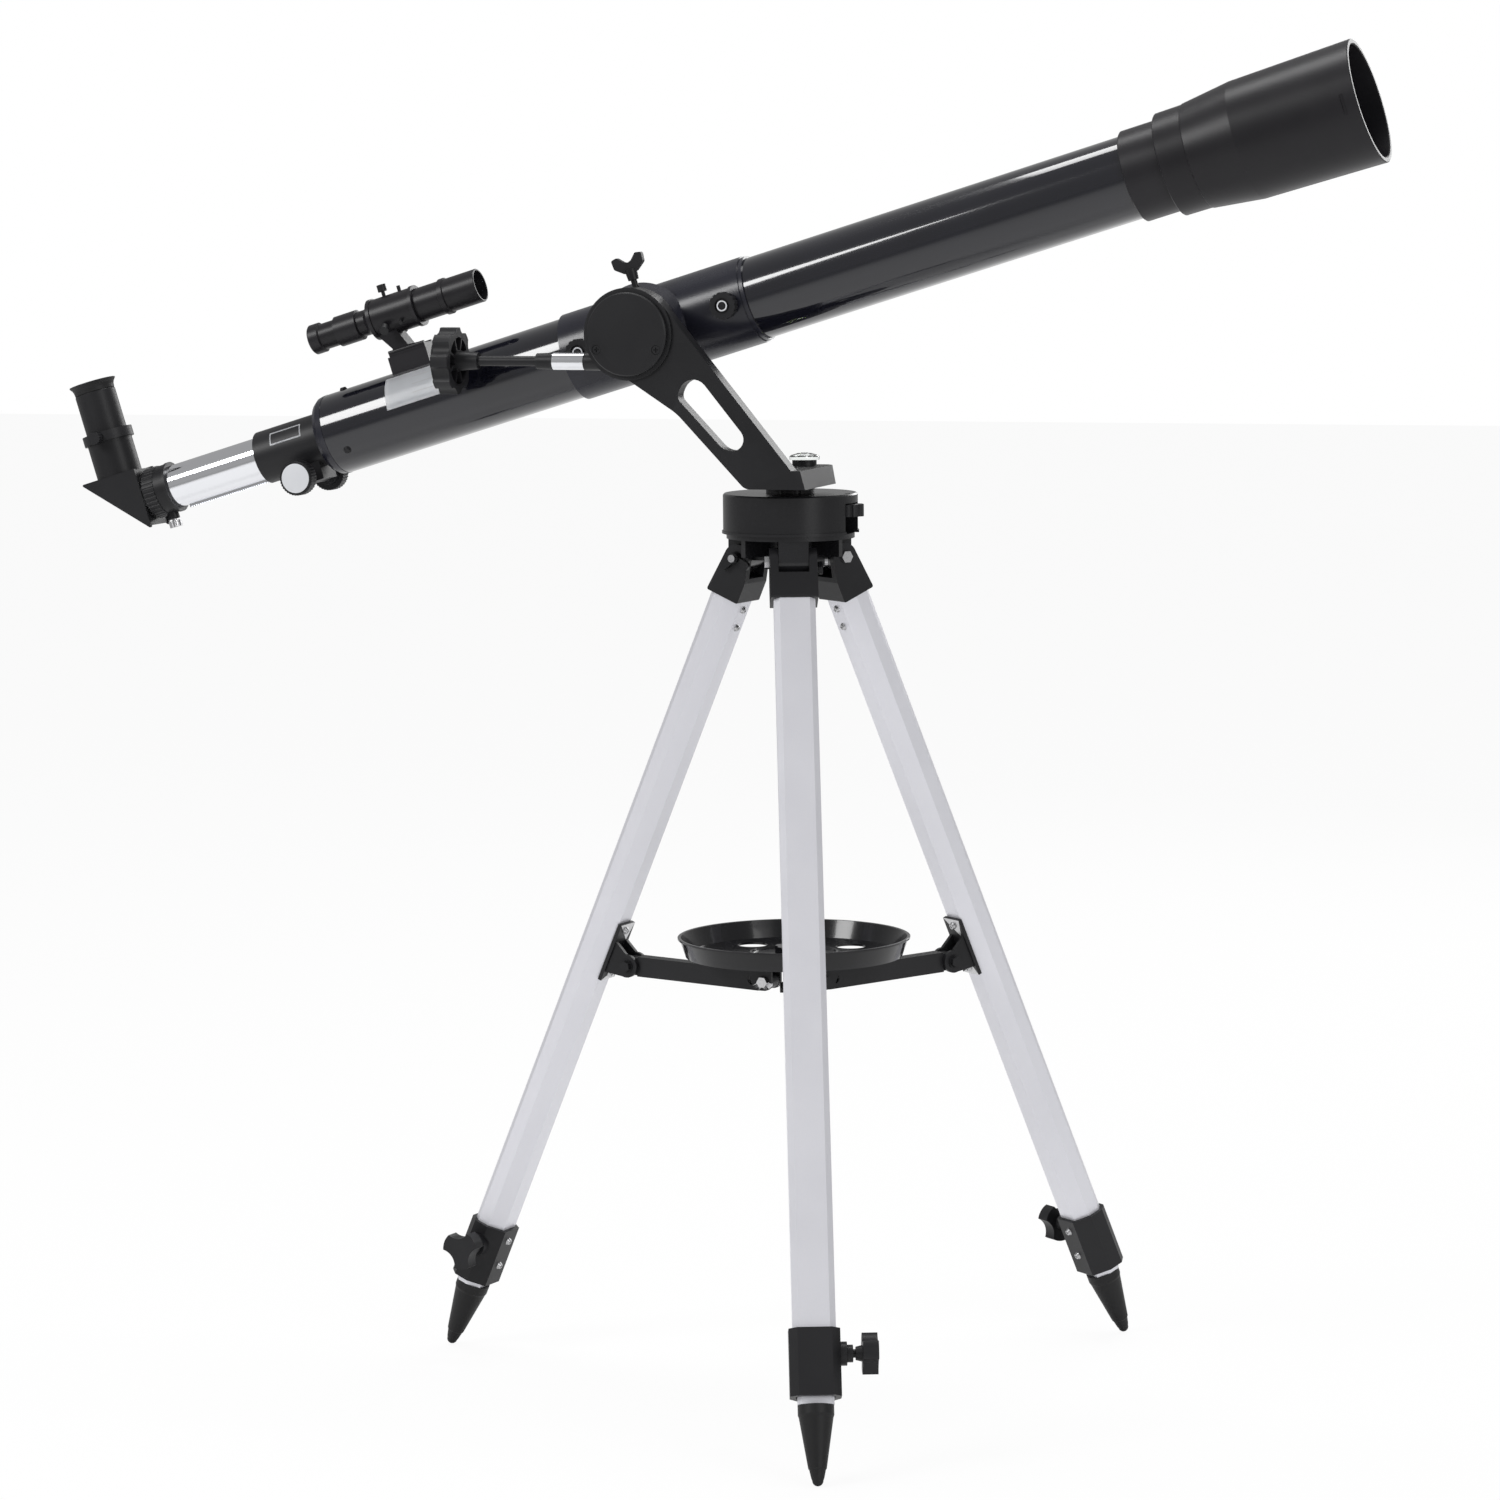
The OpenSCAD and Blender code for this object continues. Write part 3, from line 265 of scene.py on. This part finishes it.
@dataclass(frozen=True)
class Glass:
    """Clear glass or clear plastic, with a faint coating colour."""

    name: str
    colour: tuple[float, float, float]
    film: tuple[float, float, float]
    clear: float = 1.0
    rough: float = 0.02
    dust_scale: float = 90.0
    dust_detail: float = 6.0
    dust_tint: float = 0.4
    dust_roughness: float = 0.05
    coating: float = 0.4
    coating_rough: float = 0.02

    def material(self) -> bpy.types.Material:
        """Builds the glass, with dust as its only variation."""
        graph = Surface(self.name)
        dust = graph.noise(self.dust_scale, self.dust_detail)
        colour = graph.blend(dust * self.dust_tint, self.colour, self.film)
        graph.feed(graph.shader.inputs["Base Color"], colour)
        graph.feed(graph.shader.inputs["Roughness"], (dust * self.dust_roughness + self.rough).clamped())
        graph.fix(Transmission_Weight=self.clear, IOR=IOR, Coat_Weight=self.coating,
                  Coat_Roughness=self.coating_rough)
        return graph.material


class Finishes:
    """Every finish on the instrument, each made once."""

    def __init__(self) -> None:
        """Makes the finishes."""
        black = (0.0035, 0.0035, 0.0055)
        recipes: list[Finish | Glass] = [
            Finish("gloss_black_lacquer", black, (0.008, 0.0085, 0.016), 0.13, 0.05, coat=Coat.FULL,
                   grain=900, depth=0.00001, relief=0.05, edge=2.0),
            Finish("satin_black_cradle", (0.009, 0.009, 0.014), (0.02, 0.021, 0.032), 0.26, 0.08,
                   coat=Coat.THIN, coat_rough=0.2, grain=2200, relief=0.12),
            Finish("satin_black_paint", (0.0075, 0.0075, 0.0085), (0.02, 0.02, 0.022), 0.4, 0.1, grain=3000,
                   relief=0.3),
            Finish("moulded_black", (0.006, 0.006, 0.007), (0.017, 0.017, 0.019), 0.42, 0.12, grain=4200,
                   relief=0.4),
            Finish("shield_black", (0.007, 0.0065, 0.008), (0.019, 0.018, 0.021), 0.36, 0.08, grain=3600,
                   depth=0.00002, relief=0.3),
            Finish("drum_black", (0.006, 0.006, 0.007), (0.018, 0.018, 0.02), 0.27, 0.08, coat=Coat.THIN,
                   coat_rough=0.15, grain=2600, relief=0.15),
            Finish("tray_black", (0.004, 0.004, 0.005), (0.012, 0.012, 0.014), 0.16, 0.06, coat=Coat.THIN,
                   grain=1500, relief=0.08),
            Finish("tip_rubber", (0.006, 0.006, 0.0065), (0.02, 0.02, 0.021), 0.5, 0.14,
                   grain=2400, relief=0.5),
            Finish("anodised_legs", (0.72, 0.72, 0.77), (0.82, 0.82, 0.86), 0.36, 0.07,
                   metal=0.45, grain=1400, depth=0.00002, relief=0.18, stretch=(1, 1, 0.02), edge=2.0),
            Finish("bright_chrome", (0.74, 0.75, 0.78), (0.86, 0.87, 0.9), 0.07, 0.05, metal=1.0, grain=600,
                   depth=0.00001, relief=0.05),
            Finish("zinc_steel", (0.42, 0.42, 0.43), (0.66, 0.66, 0.67), 0.28, 0.12, metal=1.0, grain=1800,
                   relief=0.2),
            Finish("gear_brass", (0.5, 0.36, 0.14), (0.72, 0.56, 0.28), 0.3, 0.12, metal=1.0, grain=1600,
                   relief=0.2),
            Finish("pale_cap", (0.6, 0.61, 0.64), (0.7, 0.71, 0.73), 0.35, 0.08, grain=1200, relief=0.1),
            Finish("blank_label", (0.68, 0.7, 0.73), (0.8, 0.81, 0.83), 0.3, 0.1, coat=Coat.THIN, grain=700,
                   relief=0.06),
            Finish("label_line", (0.55, 0.56, 0.57), (0.66, 0.66, 0.67), 0.4, 0.1, grain=900, relief=0.05),
            Finish("vial_liquid", (0.35, 0.5, 0.08), (0.5, 0.62, 0.16), 0.1, 0.04, coat=Coat.FULL, grain=400,
                   relief=0.02),
            Glass("coated_lens", (0.55, 0.66, 0.8), (0.42, 0.5, 0.75)),
            Glass("prism_glass", (0.85, 0.9, 0.92), (0.75, 0.82, 0.88)),
            Glass("clear_dome", (0.95, 0.97, 0.96), (0.85, 0.9, 0.88)),
        ]
        self.by_name = {recipe.name: recipe.material() for recipe in recipes}

    def dress(self, nodes: Iterable[str], finish: str, parts: dict[str, bpy.types.Object]) -> None:
        """Gives CAD nodes one finish.

        Args:
            nodes: the nodes' names.
            finish: the finish's name.
            parts: every CAD node by name.
        """
        for node in nodes:
            data = parts[node].data
            data.materials.clear()
            data.materials.append(self.by_name[finish])

    def dress_screws(self, node: str, finish: str, parts: dict[str, bpy.types.Object],
                     largest: float) -> None:
        """Gives the small separate solids of a node, its screws and bolts, a finish of their own.

        Args:
            node: the node's name.
            finish: the screws' finish.
            parts: every CAD node by name.
            largest: greatest diagonal of a screw's box, in metres.
        """
        data = parts[node].data
        data.materials.append(self.by_name[finish])
        mesh = bmesh.new()
        mesh.from_mesh(data)
        bmesh.ops.remove_doubles(mesh, verts=mesh.verts, dist=WELD)
        islands = self.islands(mesh)
        boxes = []
        for faces in islands:
            corners = [vert.co for face in faces for vert in face.verts]
            low = Vector([min(corner[i] for corner in corners) for i in range(3)])
            high = Vector([max(corner[i] for corner in corners) for i in range(3)])
            boxes.append((low, high))
        mesh.free()
        small = [box for box in boxes if (box[1] - box[0]).length < largest]
        for polygon in data.polygons:
            middle = polygon.center
            inside = any(all(low[i] - WELD <= middle[i] <= high[i] + WELD for i in range(3))
                         for low, high in small)
            polygon.material_index = int(inside)

    @staticmethod
    def islands(mesh: bmesh.types.BMesh) -> list[list[bmesh.types.BMFace]]:
        """Splits a mesh into its separate solids.

        Args:
            mesh: the mesh.

        Returns:
            The faces of each solid.
        """
        left = set(mesh.faces)
        found = []
        while left:
            group = [left.pop()]
            for face in group:
                for edge in face.edges:
                    fresh = [other for other in edge.link_faces if other in left]
                    left.difference_update(fresh)
                    group.extend(fresh)
            found.append(group)
        return found


@dataclass
class Axes:
    """A local frame: an origin and three unit directions."""

    origin: Vector
    x: Vector
    y: Vector
    z: Vector

    def matrix(self) -> Matrix:
        """The frame as a matrix."""
        turned = Matrix((self.x, self.y, self.z)).transposed().to_4x4()
        turned.translation = self.origin
        return turned


class Maker:
    """Makes fine pieces as meshes, dresses them and lets them ride."""

    def __init__(self, finishes: Finishes) -> None:
        """Keeps the finishes."""
        self.finishes = finishes

    def piece(self, name: str, mesh: bmesh.types.BMesh, place: Axes, finish: str, body: str,
              slot: str) -> None:
        """Turns a mesh into a finished piece.

        Args:
            name: the piece's name.
            mesh: its faces, in its local frame.
            place: where that frame lies.
            finish: its finish.
            body: the body that it rides on.
            slot: the record's material slot, which is not used.
        """
        bmesh.ops.recalc_face_normals(mesh, faces=mesh.faces)
        mesh.transform(place.matrix())
        data = bpy.data.meshes.new(name)
        mesh.to_mesh(data)
        mesh.free()
        made = bpy.data.objects.new(name, data)
        bpy.context.scene.collection.objects.link(made)
        data.materials.append(self.finishes.by_name[finish])
        for face in data.polygons:
            face.use_smooth = True
        data.set_sharp_from_angle(angle=PIECE_ANGLE)
        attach(made, body)
        log.info("made %s on %s", name, body)

    @staticmethod
    def lathe(profile: list[tuple[float, float]], steps: int = 96) -> bmesh.types.BMesh:
        """Turns a closed outline about the local Z axis.

        Args:
            profile: radius and height of each corner, in metres.
            steps: how many facets go round.

        Returns:
            The turned mesh.
        """
        mesh = bmesh.new()
        rings = []
        for i in range(steps):
            turn = math.tau * i / steps
            rings.append([mesh.verts.new((r * math.cos(turn), r * math.sin(turn), z)) for r, z in profile])
        count = len(profile)
        for i, ring in enumerate(rings):
            following = rings[(i + 1) % steps]
            for j in range(count):
                k = (j + 1) % count
                mesh.faces.new((ring[j], following[j], following[k], ring[k]))
        bmesh.ops.remove_doubles(mesh, verts=mesh.verts, dist=FINE_WELD)
        return mesh

    @staticmethod
    def skin(shape: Callable[[float, float], Vector], across: int, along: int,
             thick: float) -> bmesh.types.BMesh:
        """Makes a doubled sheet from a formula.

        The two layers lie on each other: the vertex normals aren't worked out before solidify, so
        it has no direction to thicken in.

        Args:
            shape: point for u and v between nought and one.
            across: facets in u.
            along: facets in v.
            thick: thickness asked for in metres, which has no effect for the reason above.

        Returns:
            The sheet.
        """
        mesh = bmesh.new()
        grid = [[mesh.verts.new(shape(i / across, j / along)) for j in range(along + 1)]
                for i in range(across + 1)]
        for i in range(across):
            for j in range(along):
                mesh.faces.new((grid[i][j], grid[i + 1][j], grid[i + 1][j + 1], grid[i][j + 1]))
        bmesh.ops.solidify(mesh, geom=mesh.faces[:], thickness=thick)
        return mesh


@dataclass
class OpticalTube:
    """The tube with everything it carries."""

    maker: Maker
    parts: dict[str, bpy.types.Object]
    tilt: float = math.radians(17)
    radius: float = 0.0325
    label: tuple[float, float] = (-0.2255, 0.047)
    label_span: tuple[float, float] = (math.radians(6), math.radians(60))
    label_lift: float = 0.00006
    rules: int = 3
    rule_lift: float = 0.00016
    rule_width: float = 0.018
    pinion_x: float = -0.316
    pinion_z: float = -0.0259
    cap_r: float = 0.0118
    cap_y: float = 0.0390
    nuts: tuple[float, float] = (0.0725, -0.0527)
    nut_face: float = -0.04418
    plate_r: float = 0.02143
    finishes: dict[str, tuple[str, ...]] = field(default_factory=lambda: {
        "gloss_black_lacquer": ("main_tube",),
        "satin_black_cradle": ("cradle", "rear_cell"),
        "shield_black": ("dew_shield", "lens_cell", "finder_tube", "finder_bracket"),
        "moulded_black": ("focuser_body", "focus_knobs", "cradle_knob_front", "cradle_knob_rear",
                          "altitude_lock_screw", "drawtube_collar", "diagonal_housing",
                          "eyepiece_barrel", "tube_screws", "eyepiece_thumbscrew"),
        "tip_rubber": ("eyecup",),
        "bright_chrome": ("drawtube", "diagonal_barrel"),
        "zinc_steel": ("pinion_shaft", "drawtube_thumbscrew"),
        "gear_brass": ("altitude_axle",),
        "coated_lens": ("objective_lens", "finder_lenses", "eye_lens"),
        "prism_glass": ("diagonal_prism",),
    })

    def axes(self, pivot: Vector) -> Axes:
        """The tube's frame: X along it and Z across it, from the altitude axis."""
        along = Vector((math.cos(self.tilt), 0, math.sin(self.tilt)))
        across = Vector((-math.sin(self.tilt), 0, math.cos(self.tilt)))
        return Axes(pivot, along, Vector((0, 1, 0)), across)

    @staticmethod
    def at(axes: Axes, x: float, y: float, z: float, facing: float) -> Axes:
        """A frame at a point of the tube, its Z axis along Y, near side or far side."""
        origin = axes.origin + axes.x * x + axes.y * y + axes.z * z
        return Axes(origin, axes.x, axes.z * -facing, axes.y * facing)

    def blank_label(self, axes: Axes) -> None:
        """The empty label on the near side of the tube, with a few plain rules on it."""
        start, length = self.label
        low, high = self.label_span

        def paper(u: float, v: float) -> Vector:
            """Point of the label."""
            turn = low + (high - low) * v
            r = self.radius + self.label_lift
            return Vector((start + length * u, -r * math.cos(turn), r * math.sin(turn)))

        sheet = Maker.skin(paper, 12, 18, 0.00008)
        self.maker.piece("blank_label", sheet, axes, "blank_label", "optical_tube", "shield_plastic")
        for i in range(self.rules):
            turn = low + (high - low) * (i + 1) / (self.rules + 1)

            def rule(u: float, v: float, turn: float = turn) -> Vector:
                """Point of one printed rule."""
                r = self.radius + self.rule_lift
                there = turn + self.rule_width * v
                place = start + length * (0.52 + 0.4 * u)
                return Vector((place, -r * math.cos(there), r * math.sin(there)))

            line = Maker.skin(rule, 6, 2, 0.00003)
            self.maker.piece(f"label_rule_{i + 1}", line, axes, "label_line", "optical_tube",
                             "shield_plastic")

    def knob_caps(self, axes: Axes) -> None:
        """The pale caps let into both focus knobs."""
        r = self.cap_r
        outline = [(0, -0.0008), (r, -0.0008), (r, 0), (r - 0.0004, 0.00015), (0, 0.00018)]
        for side, name in ((-1.0, "near"), (1.0, "far")):
            place = self.at(axes, self.pinion_x, side * self.cap_y, self.pinion_z, side)
            cap = Maker.lathe(outline)
            self.maker.piece(f"focus_cap_{name}", cap, place, "pale_cap", "focus_drive", "black_plastic")

    def nut_rings(self, axes: Axes) -> None:
        """The pale ring in the middle of each cradle nut."""
        outline = [(0.0032, 0), (0.0042, 0), (0.0042, 0.0001), (0.0032, 0.0001)]
        for x, name in zip(self.nuts, ("front", "rear")):
            place = self.at(axes, x, self.nut_face, 0, -1.0)
            ring = Maker.lathe(outline, 48)
            self.maker.piece(f"nut_ring_{name}", ring, place, "pale_cap", f"{name}_nut", "black_plastic")

    def plate_frame(self, axes: Axes) -> None:
        """The empty outline printed on the near side of the focuser."""
        r = self.plate_r
        edges = ((-0.337, -0.309, 0.30, 0.36), (-0.337, -0.309, 0.80, 0.86),
                 (-0.337, -0.336, 0.30, 0.86), (-0.310, -0.309, 0.30, 0.86))
        for i, (x0, x1, low, high) in enumerate(edges):

            def band(u: float, v: float, x0: float = x0, x1: float = x1, low: float = low,
                     high: float = high) -> Vector:
                """Point of one side of the outline."""
                turn = low + (high - low) * v
                return Vector((x0 + (x1 - x0) * u, -r * math.cos(turn), r * math.sin(turn)))

            side = Maker.skin(band, 8, 8, 0.00004)
            self.maker.piece(f"plate_line_{i + 1}", side, axes, "pale_cap", "optical_tube",
                             "black_plastic")

    def build(self, pivot: Vector) -> None:
        """Dresses the tube and adds its fine pieces."""
        for finish, nodes in self.finishes.items():
            self.maker.finishes.dress(nodes, finish, self.parts)
        axes = self.axes(pivot)
        self.blank_label(axes)
        self.knob_caps(axes)
        self.nut_rings(axes)
        self.plate_frame(axes)


@dataclass
class Mount:
    """The arm, its worm drive and the bubble level."""

    maker: Maker
    parts: dict[str, bpy.types.Object]
    liquid_r: float = 0.0073
    bubble_r: float = 0.0022

    def level(self) -> None:
        """The liquid and the ring mark inside the level's clear dome."""
        low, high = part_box("level_case")
        middle = (Vector(low) + Vector(high)) / 2
        top = Vector((middle.x, middle.y, high[2]))
        place = Axes(top, Vector((1, 0, 0)), Vector((0, 1, 0)), Vector((0, 0, 1)))
        r = self.bubble_r
        mark = [(r, 0.00545), (r + 0.0004, 0.00542), (r + 0.0004, 0.0055), (r, 0.0055)]
        ring = Maker.lathe(mark, 40)
        self.maker.piece("level_mark", ring, place, "satin_black_paint", "mount", "black_plastic")
        base = [(0, -0.0029), (self.liquid_r, -0.0029), (self.liquid_r, -0.00265), (0, -0.00265)]
        liquid = Maker.lathe(base, 48)
        self.maker.piece("level_liquid", liquid, place, "vial_liquid", "mount", "black_plastic")

    def build(self) -> None:
        """Dresses the mount."""
        dress = self.maker.finishes.dress
        dress(("mount_arm", "gear_cover"), "satin_black_paint", self.parts)
        dress(("azimuth_spindle", "cover_screws", "level_case", "control_handle"), "moulded_black",
              self.parts)
        dress(("worm_shaft",), "bright_chrome", self.parts)
        dress(("level_window",), "clear_dome", self.parts)
        self.level()


@dataclass
class Tripod:
    """Head, legs, spreader and tray."""

    maker: Maker
    parts: dict[str, bpy.types.Object]
    joints: dict[str, dict]
    legs: int = 3
    screw_box: float = 0.032
    nut_start: float = 0.0185
    bolt_r: float = 0.00302

    def wing_nuts(self) -> None:
        """Gives the wing nuts on the hinge bolts a black finish, and leaves the bolts bright."""
        data = self.parts["hinge_bolts"].data
        data.materials.append(self.maker.finishes.by_name["moulded_black"])
        hinges = [self.joints[f"leg_{leg}_fold"] for leg in range(1, self.legs + 1)]
        pins = [(Vector(hinge["pos_m"]), Vector(hinge["axis"]).normalized()) for hinge in hinges]
        for polygon in data.polygons:
            middle = polygon.center
            pin, along = min(pins, key=lambda one: (middle - one[0]).length)
            reach = (middle - pin).dot(along)
            off = (middle - pin - along * reach).length
            polygon.material_index = int(reach > self.nut_start and off > self.bolt_r)

    def build(self) -> None:
        """Dresses the tripod."""
        dress = self.maker.finishes.dress
        dress(("tripod_head", "head_spider"), "drum_black", self.parts)
        dress(("azimuth_lock_knob",), "moulded_black", self.parts)
        dress(("hinge_bolts",), "zinc_steel", self.parts)
        self.wing_nuts()
        dress(("spreader_hub",), "satin_black_paint", self.parts)
        self.maker.finishes.dress_screws("spreader_hub", "zinc_steel", self.parts, self.screw_box)
        dress(("tray",), "tray_black", self.parts)
        for leg in range(1, self.legs + 1):
            dress((f"leg_tube_{leg}", f"inner_leg_{leg}"), "anodised_legs", self.parts)
            dress((f"leg_fittings_{leg}", f"clamp_knob_{leg}"), "moulded_black", self.parts)
            self.maker.finishes.dress_screws(f"leg_fittings_{leg}", "zinc_steel", self.parts, self.screw_box)
            dress((f"brace_{leg}",), "satin_black_paint", self.parts)
            dress((f"foot_{leg}",), "tip_rubber", self.parts)


@dataclass(frozen=True)
class Lamp:
    """One soft rectangular lamp."""

    name: str
    place: tuple[float, float, float]
    size: tuple[float, float]
    power: float


@dataclass
class Studio:
    """Floor, world, lamps and camera."""

    eye: Vector = field(default_factory=lambda: Vector((1.2453, -3.8675, 0.9836)))
    turn: float = math.radians(18.32)
    dip: float = math.radians(6.64)
    roll: float = math.radians(0.527)
    lens: float = 124.37
    sensor: float = 36.0
    far: float = 100.0
    whiteness: float = 0.93
    seen_light: float = 1.0
    room_light: float = 0.38
    floor_size: float = 14.0
    floor_drop: float = 0.0005
    lamp_target: Vector = field(default_factory=lambda: Vector((0, 0, 0.6)))
    lamps: tuple[Lamp, ...] = (
        Lamp("key", (-2.2, -2.4, 2.6), (1.2, 1.2), 62),
        Lamp("fill", (2.8, -2.0, 1.6), (1.4, 1.8), 30),
        Lamp("overhead", (0.0, 0.4, 3.2), (2.4, 0.8), 45),
        Lamp("rim", (0.6, 3.0, 1.6), (2.0, 1.0), 25),
    )

    def camera(self) -> None:
        """Sets the camera."""
        data = bpy.data.cameras.new("camera")
        data.lens = self.lens
        data.sensor_width = self.sensor
        data.clip_end = self.far
        made = bpy.data.objects.new("camera", data)
        bpy.context.scene.collection.objects.link(made)
        aim = Euler((math.pi / 2 - self.dip, 0, self.turn)).to_matrix()
        spin = Matrix.Rotation(-self.roll, 3, "Z")
        made.matrix_world = Matrix.Translation(self.eye) @ (aim @ spin).to_4x4()
        bpy.context.scene.camera = made

    def world(self) -> None:
        """A white world to the camera and through glass, and a softer one for light."""
        world = bpy.data.worlds.new("studio")
        bpy.context.scene.world = world
        world.use_nodes = True
        graph = Graph(world.node_tree)
        back = graph.tree.nodes["Background"]
        graph.feed(back.inputs["Color"], (1, 1, 1, 1))
        camera = graph.node("ShaderNodeLightPath", out="Is Camera Ray")
        glass = graph.node("ShaderNodeLightPath", out="Is Transmission Ray")
        strength = camera.highest(glass) * (self.seen_light - self.room_light) + self.room_light
        graph.feed(back.inputs["Strength"], strength)

    def floor(self) -> None:
        """A wide pale floor that keeps the object's shadow."""
        mesh = bmesh.new()
        bmesh.ops.create_grid(mesh, x_segments=2, y_segments=2, size=self.floor_size)
        data = bpy.data.meshes.new("floor")
        mesh.to_mesh(data)
        mesh.free()
        made = bpy.data.objects.new("floor", data)
        bpy.context.scene.collection.objects.link(made)
        made.location.z = -self.floor_drop
        graph = Surface("studio_floor")
        graph.fix(Base_Color=(0.86, 0.86, 0.86, 1), Roughness=0.9)
        path = graph.node("ShaderNodeLightPath", out="Is Camera Ray")
        glow = graph.node("ShaderNodeEmission", {}, {"Color": (1, 1, 1, 1), "Strength": 1.0})
        inputs = {0: path * self.whiteness, 1: Sock(graph, graph.shader.outputs[0]), 2: glow}
        graph.feed(graph.output.inputs["Surface"], graph.node("ShaderNodeMixShader", {}, inputs))
        data.materials.append(graph.material)

    def lamp(self, lamp: Lamp) -> None:
        """Hangs one lamp and aims it at the mount."""
        data = bpy.data.lights.new(lamp.name, "AREA")
        data.shape = "RECTANGLE"
        data.size, data.size_y = lamp.size
        data.energy = lamp.power
        made = bpy.data.objects.new(lamp.name, data)
        bpy.context.scene.collection.objects.link(made)
        made.location = lamp.place
        aim = self.lamp_target - Vector(lamp.place)
        made.rotation_euler = aim.to_track_quat("-Z", "Y").to_euler()

    def build(self) -> None:
        """Builds the studio."""
        self.camera()
        self.world()
        self.floor()
        for lamp in self.lamps:
            self.lamp(lamp)


def smooth(parts: dict[str, bpy.types.Object]) -> None:
    """Shades every CAD node smoothly between its sharp edges."""
    for part in parts.values():
        for face in part.data.polygons:
            face.use_smooth = True
        part.data.set_sharp_from_angle(angle=CAD_ANGLE)


def main() -> None:
    """Builds the whole scene."""
    logging.basicConfig(level=logging.INFO)
    bpy.ops.wm.read_factory_settings(use_empty=True)
    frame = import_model()
    parts = frame["nodes"]
    smooth(parts)
    joints = {joint["name"]: joint for joint in frame["joints"]}
    pivot = Vector(joints["altitude"]["pos_m"])
    maker = Maker(Finishes())
    Tripod(maker, parts, joints).build()
    Mount(maker, parts).build()
    OpticalTube(maker, parts).build(pivot)
    Studio().build()
    bpy.context.scene.view_settings.view_transform = "Standard"


if __name__ == "__main__":
    main()
